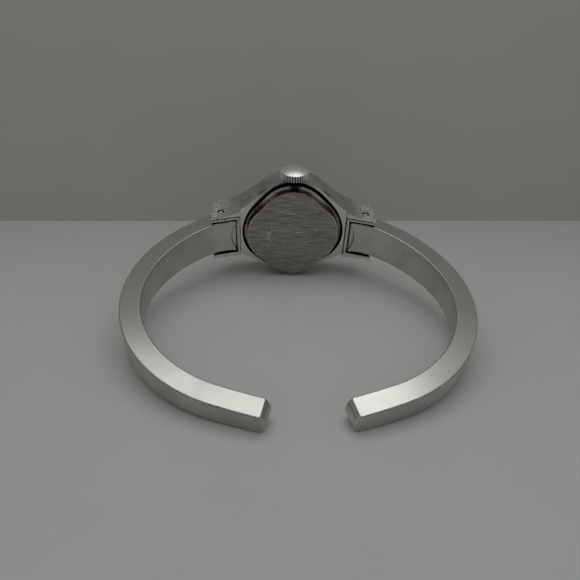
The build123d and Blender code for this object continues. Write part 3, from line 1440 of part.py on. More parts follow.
# Pallet fork: two stones at the escape wheel, a lever to the balance, an arbor with pivots
stone_centre = escape_radius + pallet_stone / 2 + fit_gap
with BuildPart() as pallet_fork:
    with BuildSketch(spot(lower_front, pallet_place, lever_angle)):
        Circle(arbor_radius)
        with Locations(((lever_reach - impulse_reach) / 2, 0)):
            Rectangle(lever_reach - impulse_reach + impulse_pin_radius, lever_bar_width)
        with Locations((lever_reach - impulse_reach - fork_slot / 2, 0)):
            Rectangle(2 * fork_slot, 3 * fork_slot)
        for side in (-1, 1):
            with Locations(polar(pallet_arm_length / 2, side * pallet_arm_angle)):
                Rectangle(pallet_arm_length, pallet_arm_width, rotation=side * pallet_arm_angle)
        with Locations((-escape_radius * pallet_reach_share, 0)):
            with PolarLocations(stone_centre, 2, start_angle=-pallet_stone_angle, angular_range=4 * pallet_stone_angle):
                Rectangle(pallet_stone, pallet_stone)
        with Locations((lever_reach - impulse_reach + fork_slot / 2, 0)):
            Rectangle(2 * fork_slot, fork_slot, mode=Mode.SUBTRACT)
    extrude(amount=wheel_thickness)
    with BuildSketch(spot(plate_rear - motion_gap, pallet_place)):
        Circle(arbor_radius)
    extrude(amount=plate_rear - pallet_bridge_front - 2 * motion_gap)
    with BuildSketch(spot(plate_rear + pivot_length, pallet_place)):
        Circle(pivot_radius)
    extrude(amount=plate_rear + pivot_length - pallet_bridge_rear)
save(pallet_fork, "pallet_fork")

# Balance: a rim with three arms, on a staff with roller, impulse pin and hairspring collet
with BuildPart() as balance_wheel:
    with BuildSketch(spot(balance_front, balance_place, lever_angle)):
        Circle(balance_radius)
        Circle(balance_radius - balance_rim_width, mode=Mode.SUBTRACT)
        with PolarLocations(balance_radius / 2, 3):
            Rectangle(balance_radius - balance_rim_width, balance_rim_width)
        Circle(2 * arbor_radius)
        Circle(arbor_radius, mode=Mode.SUBTRACT)
    extrude(amount=balance_rim_height)
save(balance_wheel, "balance_wheel")

roller_front = lower_front - wheel_thickness - motion_gap
hairspring_front = centre_front + fit_gap
with BuildPart() as balance_staff:
    with BuildSketch(spot(plate_rear - motion_gap, balance_place)):
        Circle(arbor_radius)
    extrude(amount=train_room - 2 * motion_gap)
    with BuildSketch(spot(plate_rear + pivot_length, balance_place)):
        Circle(pivot_radius)
    extrude(amount=train_room + 2 * pivot_length)
    with BuildSketch(spot(roller_front, balance_place)):
        Circle(roller_radius)
    extrude(amount=2 * motion_gap)
    with BuildSketch(spot(lower_front, balance_place, lever_angle + 180)):
        with Locations((impulse_reach, 0)):
            Circle(impulse_pin_radius)
    extrude(amount=lower_front - roller_front + motion_gap)
    with BuildSketch(spot(hairspring_front, balance_place)):
        Circle(hairspring_inner - hairspring_sheet - fit_gap)
    extrude(amount=hairspring_height)
save(balance_staff, "balance_staff")

with BuildPart() as hairspring:
    with BuildSketch(spot(hairspring_front, balance_place, stud_angle)):
        Polygon(
            *spiral_points(
                hairspring_turns, hairspring_inner, hairspring_outer, hairspring_sheet, 2 * spiral_steps
            ),
            align=None,
        )
    extrude(amount=hairspring_height)
save(hairspring, "hairspring")

# Regulator: a ring on the cock's boss, a tail to turn it by, two pins beside the outer coil
coil_pitch = (hairspring_outer - hairspring_inner) / hairspring_turns
curb_reach = hairspring_outer - coil_pitch * (360 - curb_turn) / 360
curb_step = hairspring_sheet / 2 + curb_pin_radius + 2 * fit_gap
with BuildPart() as regulator:
    with BuildSketch(spot(bridge_rear - fit_gap, balance_place, stud_angle + curb_turn)):
        with Locations((hairspring_outer / 2 + stud_radius, 0)):
            Rectangle(hairspring_outer + stud_radius, 2 * stud_radius)
        with Locations(polar(regulator_tail / 2, regulator_tail_turn)):
            Rectangle(regulator_tail, 2 * stud_radius, rotation=regulator_tail_turn)
        Circle(regulator_radius)
        Circle(regulator_boss + shaft_clearance, mode=Mode.SUBTRACT)
    extrude(amount=wheel_thickness)
    with BuildSketch(spot(hairspring_front, balance_place, stud_angle + curb_turn)):
        with Locations((curb_reach - curb_step, 0), (curb_reach + curb_step, 0)):
            Circle(curb_pin_radius)
    extrude(amount=hairspring_front - bridge_rear + motion_gap)
save(regulator, "regulator")

# Winding pinion and castle wheel on the stem, with teeth on their facing ends
winding_module = winding_pinion_radius / (winding_pinion_teeth / 2 + tooth_height_share)
face_reach = (castle_radius + stem_radius) / 2
with BuildPart() as winding_pinion:
    with BuildSketch(stem_spot(winding_pinion_start)):
        Polygon(*tooth_points(winding_pinion_teeth, winding_module), align=None)
        Circle(stem_radius + shaft_clearance, mode=Mode.SUBTRACT)
    extrude(amount=winding_pinion_length)
    with BuildSketch(stem_spot(winding_pinion_start)):
        with PolarLocations(face_reach, castle_teeth):
            Rectangle(castle_radius - stem_radius, face_tooth + 2 * fit_gap)
    extrude(amount=face_tooth, mode=Mode.SUBTRACT)
save(winding_pinion, "winding_pinion")

with BuildPart() as castle_wheel:
    with BuildSketch(stem_spot(castle_top - castle_length)):
        Circle(castle_radius)
        Rectangle(stem_square + 2 * fit_gap, stem_square + 2 * fit_gap, mode=Mode.SUBTRACT)
    extrude(amount=castle_length)
    with BuildSketch(stem_spot(castle_middle - castle_groove / 2)):
        Circle(castle_radius + overrun)
        Circle(castle_groove_radius, mode=Mode.SUBTRACT)
    extrude(amount=castle_groove, mode=Mode.SUBTRACT)
    with BuildSketch(stem_spot(castle_top)):
        with PolarLocations(face_reach, castle_teeth):
            Rectangle((castle_radius - stem_radius) / 2, face_tooth)
    extrude(amount=2 * face_tooth - 2 * fit_gap)
save(castle_wheel, "castle_wheel")

# Setting lever: swings on its post, its pin in the groove of the stem
lever_front = plate_front - motion_gap
lever_turn = angle_between(lever_pivot, lever_pin_place)
lever_run = hypot(lever_pin_place[0] - lever_pivot[0], lever_pin_place[1] - lever_pivot[1])
with BuildPart() as setting_lever:
    with BuildSketch(spot(lever_front, lever_pivot, lever_turn)):
        with Locations((lever_run / 2, 0)):
            SlotCenterToCenter(lever_run, 2 * post_radius + layer_gap)
        Circle(2 * post_radius)
        Circle(post_radius + shaft_clearance, mode=Mode.SUBTRACT)
    extrude(amount=lever_thickness)
    with BuildSketch(spot(lever_front, lever_pivot, lever_turn)):
        with Locations((lever_run, 0)):
            Circle(lever_pin_radius)
    extrude(amount=lever_front - stem_depth - stem_groove_radius - motion_gap)
save(setting_lever, "setting_lever")

# Yoke: swings on its post, its tongue in the groove of the castle wheel; and its spring
yoke_place = (0, castle_middle)
yoke_turn = angle_between(yoke_pivot, yoke_place)
yoke_run = hypot(yoke_place[0] - yoke_pivot[0], yoke_place[1] - yoke_pivot[1])
with BuildPart() as yoke:
    with BuildSketch(spot(lever_front, yoke_pivot, yoke_turn)):
        with Locations((yoke_run / 2, 0)):
            SlotCenterToCenter(yoke_run, 2 * post_radius + layer_gap)
        Circle(2 * post_radius)
        Circle(post_radius + shaft_clearance, mode=Mode.SUBTRACT)
    extrude(amount=lever_thickness)
    with BuildSketch(spot(lever_front, yoke_pivot, yoke_turn)):
        with Locations((yoke_run, 0)):
            Circle(lever_pin_radius)
    extrude(amount=lever_front - stem_depth - castle_groove_radius - motion_gap)
save(yoke, "yoke")

yoke_spring_foot = (yoke_pivot[0], yoke_pivot[1] + yoke_spring_offset)
with BuildPart() as yoke_spring:
    with BuildSketch(spot(lever_front, yoke_spring_foot)):
        with Locations((yoke_spring_length / 2, 0)):
            Rectangle(yoke_spring_length, yoke_spring_width)
        with Locations((0, yoke_spring_width)):
            Circle(2 * yoke_spring_width)
    extrude(amount=lever_thickness + motion_gap)
save(yoke_spring, "yoke_spring")

# Motion work behind the dial: setting wheel, minute wheel, cannon pinion and hour wheel
with BuildPart() as setting_wheel:
    with BuildSketch(spot(setting_front, setting_place, setting_turn)):
        Polygon(*tooth_points(setting_teeth, setting_module), align=None)
        Circle(post_radius + shaft_clearance, mode=Mode.SUBTRACT)
    extrude(amount=wheel_thickness)
save(setting_wheel, "setting_wheel")

with BuildPart() as minute_wheel:
    with BuildSketch(spot(setting_front, minute_place, minute_turn)):
        Polygon(*tooth_points(minute_teeth, setting_module), align=None)
    extrude(amount=wheel_thickness)
    with BuildSketch(spot(hour_front, minute_place, minute_pinion_turn)):
        Polygon(*tooth_points(minute_pinion_teeth, hour_module), align=None)
    extrude(amount=hour_front - setting_front)
    with BuildSketch(spot(hour_front, minute_place)):
        Circle(post_radius + shaft_clearance)
    extrude(amount=hour_front - setting_rear, mode=Mode.SUBTRACT)
save(minute_wheel, "minute_wheel")

cannon_tooth_front = hour_rear - layer_gap
cannon_rear = setting_rear - fit_gap
with BuildPart() as cannon_pinion:
    with BuildSketch(spot(cannon_tooth_front, centre, cannon_turn)):
        Polygon(*tooth_points(cannon_teeth, setting_module), align=None)
    extrude(amount=cannon_tooth_front - cannon_rear)
    with BuildSketch(spot(cannon_front - motion_gap, centre)):
        Circle(cannon_tube_radius)
    extrude(amount=cannon_front - motion_gap - cannon_rear)
    with BuildSketch(spot(cannon_front, centre)):
        Circle(centre_arbor_radius + shaft_clearance)
    extrude(amount=cannon_front - cannon_rear, mode=Mode.SUBTRACT)
save(cannon_pinion, "cannon_pinion")

hour_bore = cannon_tube_radius + shaft_clearance
hour_tube_front = dial_front + hand_stack / 2
with BuildPart() as hour_wheel:
    with BuildSketch(spot(hour_front, centre, hour_turn)):
        Polygon(*tooth_points(hour_teeth, hour_module), align=None)
    extrude(amount=wheel_thickness)
    with BuildSketch(spot(hour_tube_front, centre)):
        Circle(hour_bore + hour_tube_wall)
    extrude(amount=hour_tube_front - hour_rear)
    with BuildSketch(spot(hour_tube_front, centre)):
        Circle(hour_bore)
    extrude(amount=hour_tube_front - hour_rear, mode=Mode.SUBTRACT)
save(hour_wheel, "hour_wheel")

# Hands at eight minutes past ten
hour_angle = 30 * shown_hour + shown_minute / 2
minute_hand_front = cannon_front - motion_gap
with BuildPart() as hour_hand:
    with BuildSketch(spot(hour_tube_front - motion_gap, centre, hour_angle)):
        with BuildLine():
            Polyline(
                (0, -hand_width),
                (hour_hand_length - hand_width, -hand_width / 2),
                (hour_hand_length, 0),
                (hour_hand_length - hand_width, hand_width / 2),
                (0, hand_width),
                close=True,
            )
        make_face()
        Circle(hand_hub_radius)
        Circle(hour_bore + hour_tube_wall, mode=Mode.SUBTRACT)
    extrude(amount=hand_thickness)
save(hour_hand, "hour_hand")

with BuildPart() as minute_hand:
    with BuildSketch(spot(minute_hand_front, centre, 6 * shown_minute)):
        with BuildLine():
            Polyline(
                (0, -hand_width / 2),
                (minute_hand_length - hand_width, -hand_width / 3),
                (minute_hand_length, 0),
                (minute_hand_length - hand_width, hand_width / 3),
                (0, hand_width / 2),
                close=True,
            )
        make_face()
        Circle(hand_hub_radius)
        Circle(cannon_tube_radius, mode=Mode.SUBTRACT)
    extrude(amount=hand_thickness)
save(minute_hand, "minute_hand")
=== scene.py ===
from math import cos, radians, sin

import bpy
from mathutils import Matrix, Vector


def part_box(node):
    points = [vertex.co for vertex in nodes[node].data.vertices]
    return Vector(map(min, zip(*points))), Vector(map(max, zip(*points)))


bl_info = {
    "name": "Cuff watch looks",
    "version": (1, 0, 0),
    "blender": (4, 5, 0),
    "location": "View3D > Sidebar > Cuff watch",
    "description": "Finishes, studio and camera for the cuff watch",
    "category": "Object",
}

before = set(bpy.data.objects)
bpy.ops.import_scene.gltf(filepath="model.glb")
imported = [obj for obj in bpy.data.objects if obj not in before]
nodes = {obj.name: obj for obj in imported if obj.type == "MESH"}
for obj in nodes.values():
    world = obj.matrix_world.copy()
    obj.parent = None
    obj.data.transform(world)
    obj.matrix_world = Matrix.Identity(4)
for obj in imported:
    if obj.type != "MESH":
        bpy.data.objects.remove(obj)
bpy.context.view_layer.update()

MM = 0.001
# The watch leans back from upright by this angle, lying on its side with the crown up
LEAN = radians(10.4058)
BACK_CENTRE = Vector((0, 17.8401, 9.7593)) * MM
DEPTH = Vector((0, cos(LEAN), sin(LEAN)))
HEIGHT = Vector((0, -sin(LEAN), cos(LEAN)))
# Depth at which the flange round the case back begins
FLANGE_REAR = 1.5
# Arms: half width at the hinge pins, and how much it grows per length towards the dial
ARM_HALF_WIDTH = 3.29
ARM_TAPER = sin(radians(2.17))
# Half length of the case
CASE_END = 15.6
# Depth at which the brackets' ears begin
EAR_REAR = -1.8
# Prongs: where the hammered finish begins across the watch, and where it is full
PRONG_START = 11.5
PRONG_FULL = 14.5
# Recess round the case back: its radius, the depth of its floor, and where its wall ends
RECESS_RADIUS = 10.1
RECESS_FLOOR = 2.85
RECESS_END = 3.25
# Hinge pins: place across the watch and depth, the sink round them and the sink's rim
PIN_REACH = 14.0
PIN_DEPTH = 0.85
SINK_RADIUS = 0.62
SINK_RIM = 0.14
# The crown's flutes, and the place of its axis
FLUTES = 32
STEM_DEPTH = 4.4
# Half the width over which a mask's edge fades
FADE = 0.05
# Paper of the floor and the backdrop: its width in metres, its specks per metre and their tone
PAPER_WIDTH = 1.2
PAPER_SPECKS = 60.0
SPECK_TONE = 0.94


def linear(code):
    """Linear colour with alpha from an sRGB hex value"""
    channels = [int(code[i:i + 2], 16) / 255 for i in (1, 3, 5)]
    low = [c / 12.92 if c <= 0.04045 else ((c + 0.055) / 1.055) ** 2.4 for c in channels]
    return (*low, 1.0)


def swatch(name, description, code):
    """Colour property with its default given as a hex value"""
    return bpy.props.FloatVectorProperty(
        name=name, description=description, subtype="COLOR", size=4, min=0, max=1, default=linear(code)
    )


def length(name, description, default):
    """Length property in metres, with its default given in millimetres"""
    return bpy.props.FloatProperty(
        name=name, description=description, default=default * MM, min=0, subtype="DISTANCE", unit="LENGTH",
        precision=5,
    )


def strength(name, description, default):
    """Power or strength of a light"""
    return bpy.props.FloatProperty(name=name, description=description, default=default, min=0)


class SteelSettings(bpy.types.PropertyGroup):
    """Colours and grain of the case, the arms and the hinges"""

    satin: swatch("Satin steel", "Tone of the case", "#d2d2cb")
    arm: swatch("Arm steel", "Tone of the arms", "#c8c8c3")
    # This tone is also painted shade along the arms' corners
    dull_and_shade: swatch("Dull steel", "Tone where a finish has dulled", "#a3a29a")
    back: swatch("Case back", "Tone of the brushed case back", "#aca8a1")
    back_line: swatch("Case back lines", "Tone of the dark brush lines", "#7d7974")
    rubbed: swatch("Case back, rubbed", "Tone of the rubbed patch on the case back", "#d0cdc6")
    back_deep: swatch("Case back scratches", "Tone of the deepest brush lines", "#4f4b46")
    back_wall: swatch("Case back wall", "Tone of the case back's polished wall", "#a3938a")
    # Painted shade on the upper part of the case back's polished wall
    painted_wall_shade: swatch("Tarnish", "Tone of the darkest part of the case back's wall", "#2a2c2c")
    bright: swatch("Bright steel", "Tone of the crown, the pins and worn spots", "#dcdbd6")
    # This tone is also a painted highlight on the case back's chamfer and flange
    shine_and_highlight: swatch("Shining steel", "Tone of freshly worn specks", "#f6f5f0")
    # This tone is also painted shade: in the recess round the back, behind the flange, under the back's
    # chamfer, in the crown's grooves and in the gaps by the ears
    grime_and_shade: swatch("Grime", "Tone of the dirt in pits and round the pins", "#15140f")
    line_width: length("Line width", "Width of one brush line", 0.11)
    line_length: length("Line length", "Length of one brush line", 3.2)
    wear: length("Wear", "Size of the worn spots along the edges", 0.3)
    peen: length("Peening", "Size of the hammer dents on the prongs", 0.8)


class DialSettings(bpy.types.PropertyGroup):
    """Colours of the dial side"""

    dial: swatch("Dial", "Tone of the sunburst dial", "#d2d0c6")
    dial_line: swatch("Dial lines", "Tone of the dial's darker rays", "#a9a79d")
    hand: swatch("Hands", "Tone of the hands and the hour markers", "#26282c")
    crystal: swatch("Crystal", "Tint of the crystal", "#fbfaf4")
    scratch: length("Scratches", "Width of the crystal's fine scratches", 0.05)


class MovementSettings(bpy.types.PropertyGroup):
    """Colours of the movement"""

    nickel: swatch("Nickel plate", "Tone of the plate and the bridges", "#cdc8b8")
    nickel_dark: swatch("Nickel plate, dark", "Tone between the stripes", "#9f9a8a")
    brass: swatch("Gilt brass", "Tone of the wheels", "#d8b45c")
    brass_dark: swatch("Gilt brass, dark", "Tone of the turned lines in the wheels", "#a8843a")
    steel: swatch("Polished steel", "Tone of the screws and steel wheels", "#c4c6c8")
    steel_dark: swatch("Polished steel, dark", "Tone of the grain in the steel wheels", "#83868a")
    blue: swatch("Blued steel", "Tone of the springs", "#4a5a86")
    ruby: swatch("Ruby", "Tone of the jewels", "#b3122f")
    ruby_light: swatch("Ruby, light", "Tone of the jewels' lighter parts", "#cb2745")
    rubber: swatch("Rubber", "Tone of the gaskets", "#1a1a1a")
    bloom: swatch("Rubber bloom", "Tone of the grey bloom on the gaskets", "#3f3f3f")
    nylon: swatch("Nylon", "Tone of the movement ring", "#e4e1d4")
    nylon_dark: swatch("Nylon, dark", "Tone of the darker flow marks in the movement ring", "#cecbbf")
    stripe: length("Stripe", "Width of one stripe on the bridges", 1.1)
    pearl: length("Pearl", "Width of one ground circle on the plate", 0.8)


class StudioSettings(bpy.types.PropertyGroup):
    """Floor, backdrop, lamps and camera"""

    floor: swatch("Floor", "Tone of the floor", "#c8c9c7")
    wall: swatch("Backdrop", "Tone of the backdrop", "#b6b4ae")
    wall_distance: length("Backdrop distance", "From the middle of the model to the backdrop", 52.2)
    wall_height: length("Backdrop height", "Height of the backdrop", 120)
    wall_turn: bpy.props.FloatProperty(
        name="Backdrop turn", description="Turn of the backdrop about the vertical", default=radians(2.6),
        subtype="ANGLE", unit="ROTATION",
    )
    key: strength("Key lamp", "Power of the large lamp above", 0.074)
    accent: strength("Accent lamp", "Power of the small lamp up on the right", 0.0034)
    back: strength("Back lamp", "Power of the lamp over the backdrop's foot", 0.03)
    fill: strength("Fill lamp", "Power of the lamp beside the camera", 0.02)
    world: strength("World", "Strength of the even light", 0.33)
    lens: bpy.props.FloatProperty(
        name="Lens", description="Focal length of the camera", default=32.411, min=1,
        subtype="DISTANCE_CAMERA",
    )
    camera_place: bpy.props.FloatVectorProperty(
        name="Camera place", description="Where the camera stands", subtype="TRANSLATION", unit="LENGTH",
        default=(-0.006863, -0.077911, 0.048286),
    )
    camera_turn: bpy.props.FloatVectorProperty(
        name="Camera turn", description="Which way the camera looks", subtype="EULER", unit="ROTATION",
        default=(radians(62.1427), radians(-2.0554), radians(-2.9302)),
    )


def add_node(tree, kind, settings=None, links=None):
    """Adds one node, sets its settings and sockets, and links sockets to other nodes' outputs"""
    node = tree.nodes.new(kind)
    for key, value in (settings or {}).items():
        if isinstance(key, str) and hasattr(node, key):
            setattr(node, key, value)
        else:
            node.inputs[key].default_value = value
    for key, source in (links or {}).items():
        tree.links.new(source, node.inputs[key])
    return node


def new_material(name, metallic=1.0):
    """Empty material with its output and a Principled shader"""
    material = bpy.data.materials.new(name)
    material.use_nodes = True
    tree = material.node_tree
    tree.nodes.clear()
    shader = add_node(tree, "ShaderNodeBsdfPrincipled", {"Metallic": metallic})
    output = add_node(tree, "ShaderNodeOutputMaterial", links={"Surface": shader.outputs["BSDF"]})
    output.is_active_output = True
    return material, tree, shader


def finish(tree, shader, under, relief=None, depth=0.0):
    """Links a colour and a roughness to the shader, and a relief of the given depth"""
    tree.links.new(under[0], shader.inputs["Base Color"])
    tree.links.new(under[1], shader.inputs["Roughness"])
    if relief:
        bump = add_node(tree, "ShaderNodeBump", {"Strength": 1.0, "Distance": depth}, {"Height": relief})
        tree.links.new(bump.outputs["Normal"], shader.inputs["Normal"])


def watch_place(tree, size, origin=(0, 0, 0)):
    """Coordinates along the watch's x, depth and height from an origin in mm, in units of a size in metres"""
    place = add_node(tree, "ShaderNodeTexCoord")
    upright = Matrix.Rotation(-LEAN, 3, "X")
    along = add_node(
        tree, "ShaderNodeMapping",
        {"vector_type": "POINT", "Rotation": (-LEAN, 0, 0), "Location": -(upright @ BACK_CENTRE)},
        {"Vector": place.outputs["Object"]},
    )
    return add_node(
        tree, "ShaderNodeMapping",
        {
            "vector_type": "POINT", "Scale": [1 / step for step in size],
            "Location": [-start * MM / step for start, step in zip(origin, size)],
        },
        {"Vector": along.outputs["Vector"]},
    ).outputs["Vector"]


def watch_axes(tree, origin=(0, 0, 0)):
    """The watch's x, depth and height from an origin, all in mm"""
    split = add_node(tree, "ShaderNodeSeparateXYZ", links={"Vector": watch_place(tree, (MM, MM, MM), origin)})
    return split.outputs["X"], split.outputs["Y"], split.outputs["Z"]


def calculate(tree, operation, *values):
    """Result of one operation on values, each a number or another node's output"""
    links = {i: value for i, value in enumerate(values) if isinstance(value, bpy.types.NodeSocket)}
    numbers = {i: value for i, value in enumerate(values) if i not in links}
    return add_node(tree, "ShaderNodeMath", {"operation": operation, **numbers}, links).outputs["Value"]


def distance(tree, first, second):
    """Distance to a point, from the distances along two axes"""
    joined = add_node(tree, "ShaderNodeCombineXYZ", links={"X": first, "Y": second}).outputs["Vector"]
    return add_node(tree, "ShaderNodeVectorMath", {"operation": "LENGTH"}, {0: joined}).outputs["Value"]


def ramp(tree, value, low, high):
    """Mask that goes from 0 at low to 1 at high, where low may be the greater"""
    return add_node(
        tree, "ShaderNodeMapRange", {"From Min": low, "From Max": high}, {"Value": value}
    ).outputs["Result"]


def facing(tree, direction, low, high):
    """Mask that is 1 where the surface faces a direction, from the cosine low to the cosine high"""
    place = add_node(tree, "ShaderNodeTexCoord")
    turned = add_node(
        tree, "ShaderNodeVectorMath", {"operation": "DOT_PRODUCT", 1: direction}, {0: place.outputs["Normal"]}
    )
    return ramp(tree, turned.outputs["Value"], low, high)


def both(tree, first, second, operation="MULTIPLY"):
    """Joins two masks"""
    return add_node(
        tree, "ShaderNodeMath", {"operation": operation, "use_clamp": True}, {0: first, 1: second}
    ).outputs["Value"]


def marks(tree, size, low, high, detail=3.0, seed=(0, 0, 0)):
    """Mask of streaks, clouds or spots of a size, from a noise between low and high"""
    noise = add_node(
        tree, "ShaderNodeTexNoise", {"Scale": 1.0, "Detail": detail, "Roughness": 0.6},
        {"Vector": watch_place(tree, size, seed)},
    )
    return ramp(tree, noise.outputs["Fac"], low, high)


def noise_along(tree, value):
    """Noise that changes along one value only"""
    line = add_node(tree, "ShaderNodeCombineXYZ", links={"X": value}).outputs["Vector"]
    noise = add_node(tree, "ShaderNodeTexNoise", {"Scale": 1.0, "Detail": 2.0}, {"Vector": line})
    return noise.outputs["Fac"]


def base(tree, mask, low, high, rough_low, rough_high):
    """Two tones and two roughnesses blended by a mask"""
    tone = add_node(tree, "ShaderNodeMix", {"data_type": "RGBA", 6: low, 7: high}, {0: mask})
    rough = add_node(tree, "ShaderNodeMix", {"data_type": "FLOAT", 2: rough_low, 3: rough_high}, {0: mask})
    return tone.outputs[2], rough.outputs[0]


def coat(tree, mask, under, colour, roughness):
    """Lays a colour and a roughness over the ones below where the mask is 1"""
    tone = add_node(tree, "ShaderNodeMix", {"data_type": "RGBA", 7: colour}, {0: mask, 6: under[0]})
    rough = add_node(tree, "ShaderNodeMix", {"data_type": "FLOAT", 3: roughness}, {0: mask, 2: under[1]})
    return tone.outputs[2], rough.outputs[0]


def over(tree, mask, under, above):
    """Lays one finish over another where the mask is 1"""
    tone = add_node(tree, "ShaderNodeMix", {"data_type": "RGBA"}, {0: mask, 6: under[0], 7: above[0]})
    rough = add_node(tree, "ShaderNodeMix", {"data_type": "FLOAT"}, {0: mask, 2: under[1], 3: above[1]})
    return tone.outputs[2], rough.outputs[0]


def dress(material, *names):
    """Gives CAD nodes a material"""
    for name in names:
        for slot in nodes[name].material_slots:
            slot.material = material


class CUFFWATCH_OT_case(bpy.types.Operator):
    """Finishes the case, its back and the crown"""

    bl_idname = "cuffwatch.case"
    bl_label = "Case, back and crown"

    def execute(self, context):
        look = context.scene.cuffwatch_steel
        width, long = look.line_width, look.line_length

        # Satin stainless steel, fine-ground by belt: soft grey sheen, hammered prongs with bright spots
        material, tree, shader = new_material("satin_stainless_case")
        clouds = marks(tree, (3 * MM, 3 * MM, 3 * MM), 0.3, 0.7)
        satin = base(tree, clouds, look.satin, look.dull_and_shade, 0.27, 0.36)
        rear = facing(tree, -DEPTH, 0.6, 0.9)
        satin = over(tree, rear, satin, base(tree, clouds, look.bright, look.satin, 0.16, 0.22))
        across, depth, height = watch_axes(tree)
        out = calculate(tree, "ABSOLUTE", across)
        prongs = ramp(tree, out, PRONG_START, PRONG_FULL)
        satin = coat(tree, both(tree, prongs, clouds), satin, look.bright, 0.4)
        spots = both(tree, prongs, marks(tree, (look.wear, look.wear, look.wear), 0.5, 0.56))
        satin = coat(tree, spots, satin, look.shine_and_highlight, 0.5)
        pits = both(tree, prongs, marks(tree, (look.wear, look.wear, look.wear), 0.56, 0.6, 3.0, (3, 8, 1)))
        satin = coat(tree, pits, satin, look.back_deep, 0.5)
        # Painted shade in the recess round the back: its floor and its walls are painted dark, as they lie in
        # shade
        within = ramp(tree, distance(tree, across, height), RECESS_RADIUS + FADE, RECESS_RADIUS - FADE)
        shallow = ramp(tree, depth, RECESS_END + FADE, RECESS_END - FADE)
        floor = both(tree, rear, ramp(tree, depth, RECESS_FLOOR - FADE, RECESS_FLOOR + FADE))
        shaded_walls = both(tree, facing(tree, -DEPTH, 0.5, 0.4), both(tree, within, shallow))
        satin = coat(tree, both(tree, both(tree, floor, within), shaded_walls, "ADD"), satin, look.grime_and_shade, 0.6)
        # Darker in the sinks round the hinge pins
        from_pin = distance(
            tree, calculate(tree, "SUBTRACT", out, PIN_REACH), calculate(tree, "SUBTRACT", depth, PIN_DEPTH)
        )
        dirt = ramp(tree, from_pin, SINK_RADIUS + SINK_RIM, SINK_RADIUS)
        satin = coat(tree, dirt, satin, look.grime_and_shade, 0.7)
        dents = add_node(
            tree, "ShaderNodeTexVoronoi", {"feature": "SMOOTH_F1", "Scale": 1.0, "Smoothness": 0.6},
            {"Vector": watch_place(tree, (look.peen,) * 3)},
        ).outputs["Distance"]
        grain = marks(tree, (width, width, width), 0.0, 1.0)
        hammered = both(tree, prongs, dents)
        relief = calculate(tree, "MULTIPLY_ADD", grain, 0.06, hammered)
        finish(tree, shader, satin, relief, 0.035 * MM)
        dress(material, "case_body")

        # Brushed stainless steel: long lines across the flat of the back, polished wall round it.
        # A brush line is some 0.03 mm wide and is drawn about four times as wide, so that it shows.
        material, tree, shader = new_material("brushed_stainless_back")
        fine = marks(tree, (long, width * 1.2, width * 1.2), 0.36, 0.64, 2.0)
        broad = marks(tree, (long * 2, width * 3, width * 3), 0.0, 0.55, 2.0, (3, 1, 2))
        lines = both(tree, fine, broad, "ADD")
        face = base(tree, both(tree, fine, broad), look.back_line, look.back, 0.38, 0.3)
        bright_lines = marks(tree, (long * 0.9, width * 1.1, width * 1.1), 0.6, 0.68, 2.0, (2, 6, 1))
        face = coat(tree, bright_lines, face, look.rubbed, 0.3)
        deep_lines = marks(tree, (long * 1.6, width * 1.3, width * 1.3), 0.6, 0.68, 2.0, (7, 0, 5))
        face = coat(tree, deep_lines, face, look.back_deep, 0.45)
        # Rubbed patch left of the middle
        patch = add_node(
            tree, "ShaderNodeVectorMath", {"operation": "LENGTH"},
            {0: watch_place(tree, (0.9 * MM, 9 * MM, 3.6 * MM), (-4.7, 0, -0.2))},
        ).outputs["Value"]
        patch = ramp(tree, patch, 1.0, 0.4)
        rubbed = both(tree, patch, marks(tree, (0.5 * MM, 0.5 * MM, 0.9 * MM), 0.5, 0.65))
        face = coat(tree, rubbed, face, look.rubbed, 0.4)
        wall = base(tree, marks(tree, (MM, MM, MM), 0.3, 0.7), look.back_wall, look.back_deep, 0.12, 0.2)
        # Painted shade on the upper part of the polished wall
        wall = coat(tree, facing(tree, HEIGHT, 0.75, 0.87), wall, look.painted_wall_shade, 0.15)
        flat = facing(tree, -DEPTH, 0.985, 0.995)
        chamfer = both(tree, facing(tree, -DEPTH, 0.5, 0.6), facing(tree, -DEPTH, 0.98, 0.9))
        metal = over(tree, flat, wall, face)
        # Painted highlight on the chamfer round the face where it faces to the sides, and painted shade where
        # it faces down
        lit = both(tree, facing(tree, HEIGHT, 0.5, 0.3), facing(tree, HEIGHT, -0.6, -0.45))
        metal = coat(tree, both(tree, chamfer, lit), metal, look.shine_and_highlight, 0.5)
        metal = coat(tree, both(tree, chamfer, facing(tree, -HEIGHT, 0.5, 0.6)), metal, look.grime_and_shade, 0.6)
        # Painted highlight on the flange's upper part, beside the middle, and painted shade in the gap behind
        # the flange
        across, depth, height = watch_axes(tree)
        flange, behind = (
            ramp(tree, depth, start, start + 0.03) for start in (FLANGE_REAR - 0.04, FLANGE_REAR + 0.06)
        )
        upper = ramp(tree, height, 5.5, 7.5)
        aside = ramp(tree, calculate(tree, "ABSOLUTE", across), 0.6, 1.3)
        metal = over(tree, flange, metal, coat(tree, both(tree, upper, aside), wall, look.shine_and_highlight, 0.3))
        metal = coat(tree, behind, metal, look.grime_and_shade, 0.7)
        finish(tree, shader, metal, both(tree, flat, lines), 0.006 * MM)
        dress(material, "case_back")

        # Polished stainless steel, worn by fingers: soft bright sheen with fine hairlines
        material, tree, shader = new_material("polished_stainless_crown")
        hair = marks(tree, (width * 0.7, long, width * 0.7), 0.55, 0.7)
        dust = marks(tree, (0.5 * MM,) * 3, 0.45, 0.75, 2.0, (4, 4, 4))
        metal = base(tree, hair, look.shine_and_highlight, look.bright, 0.34, 0.42)
        metal = coat(tree, both(tree, dust, hair), metal, look.dull_and_shade, 0.35)
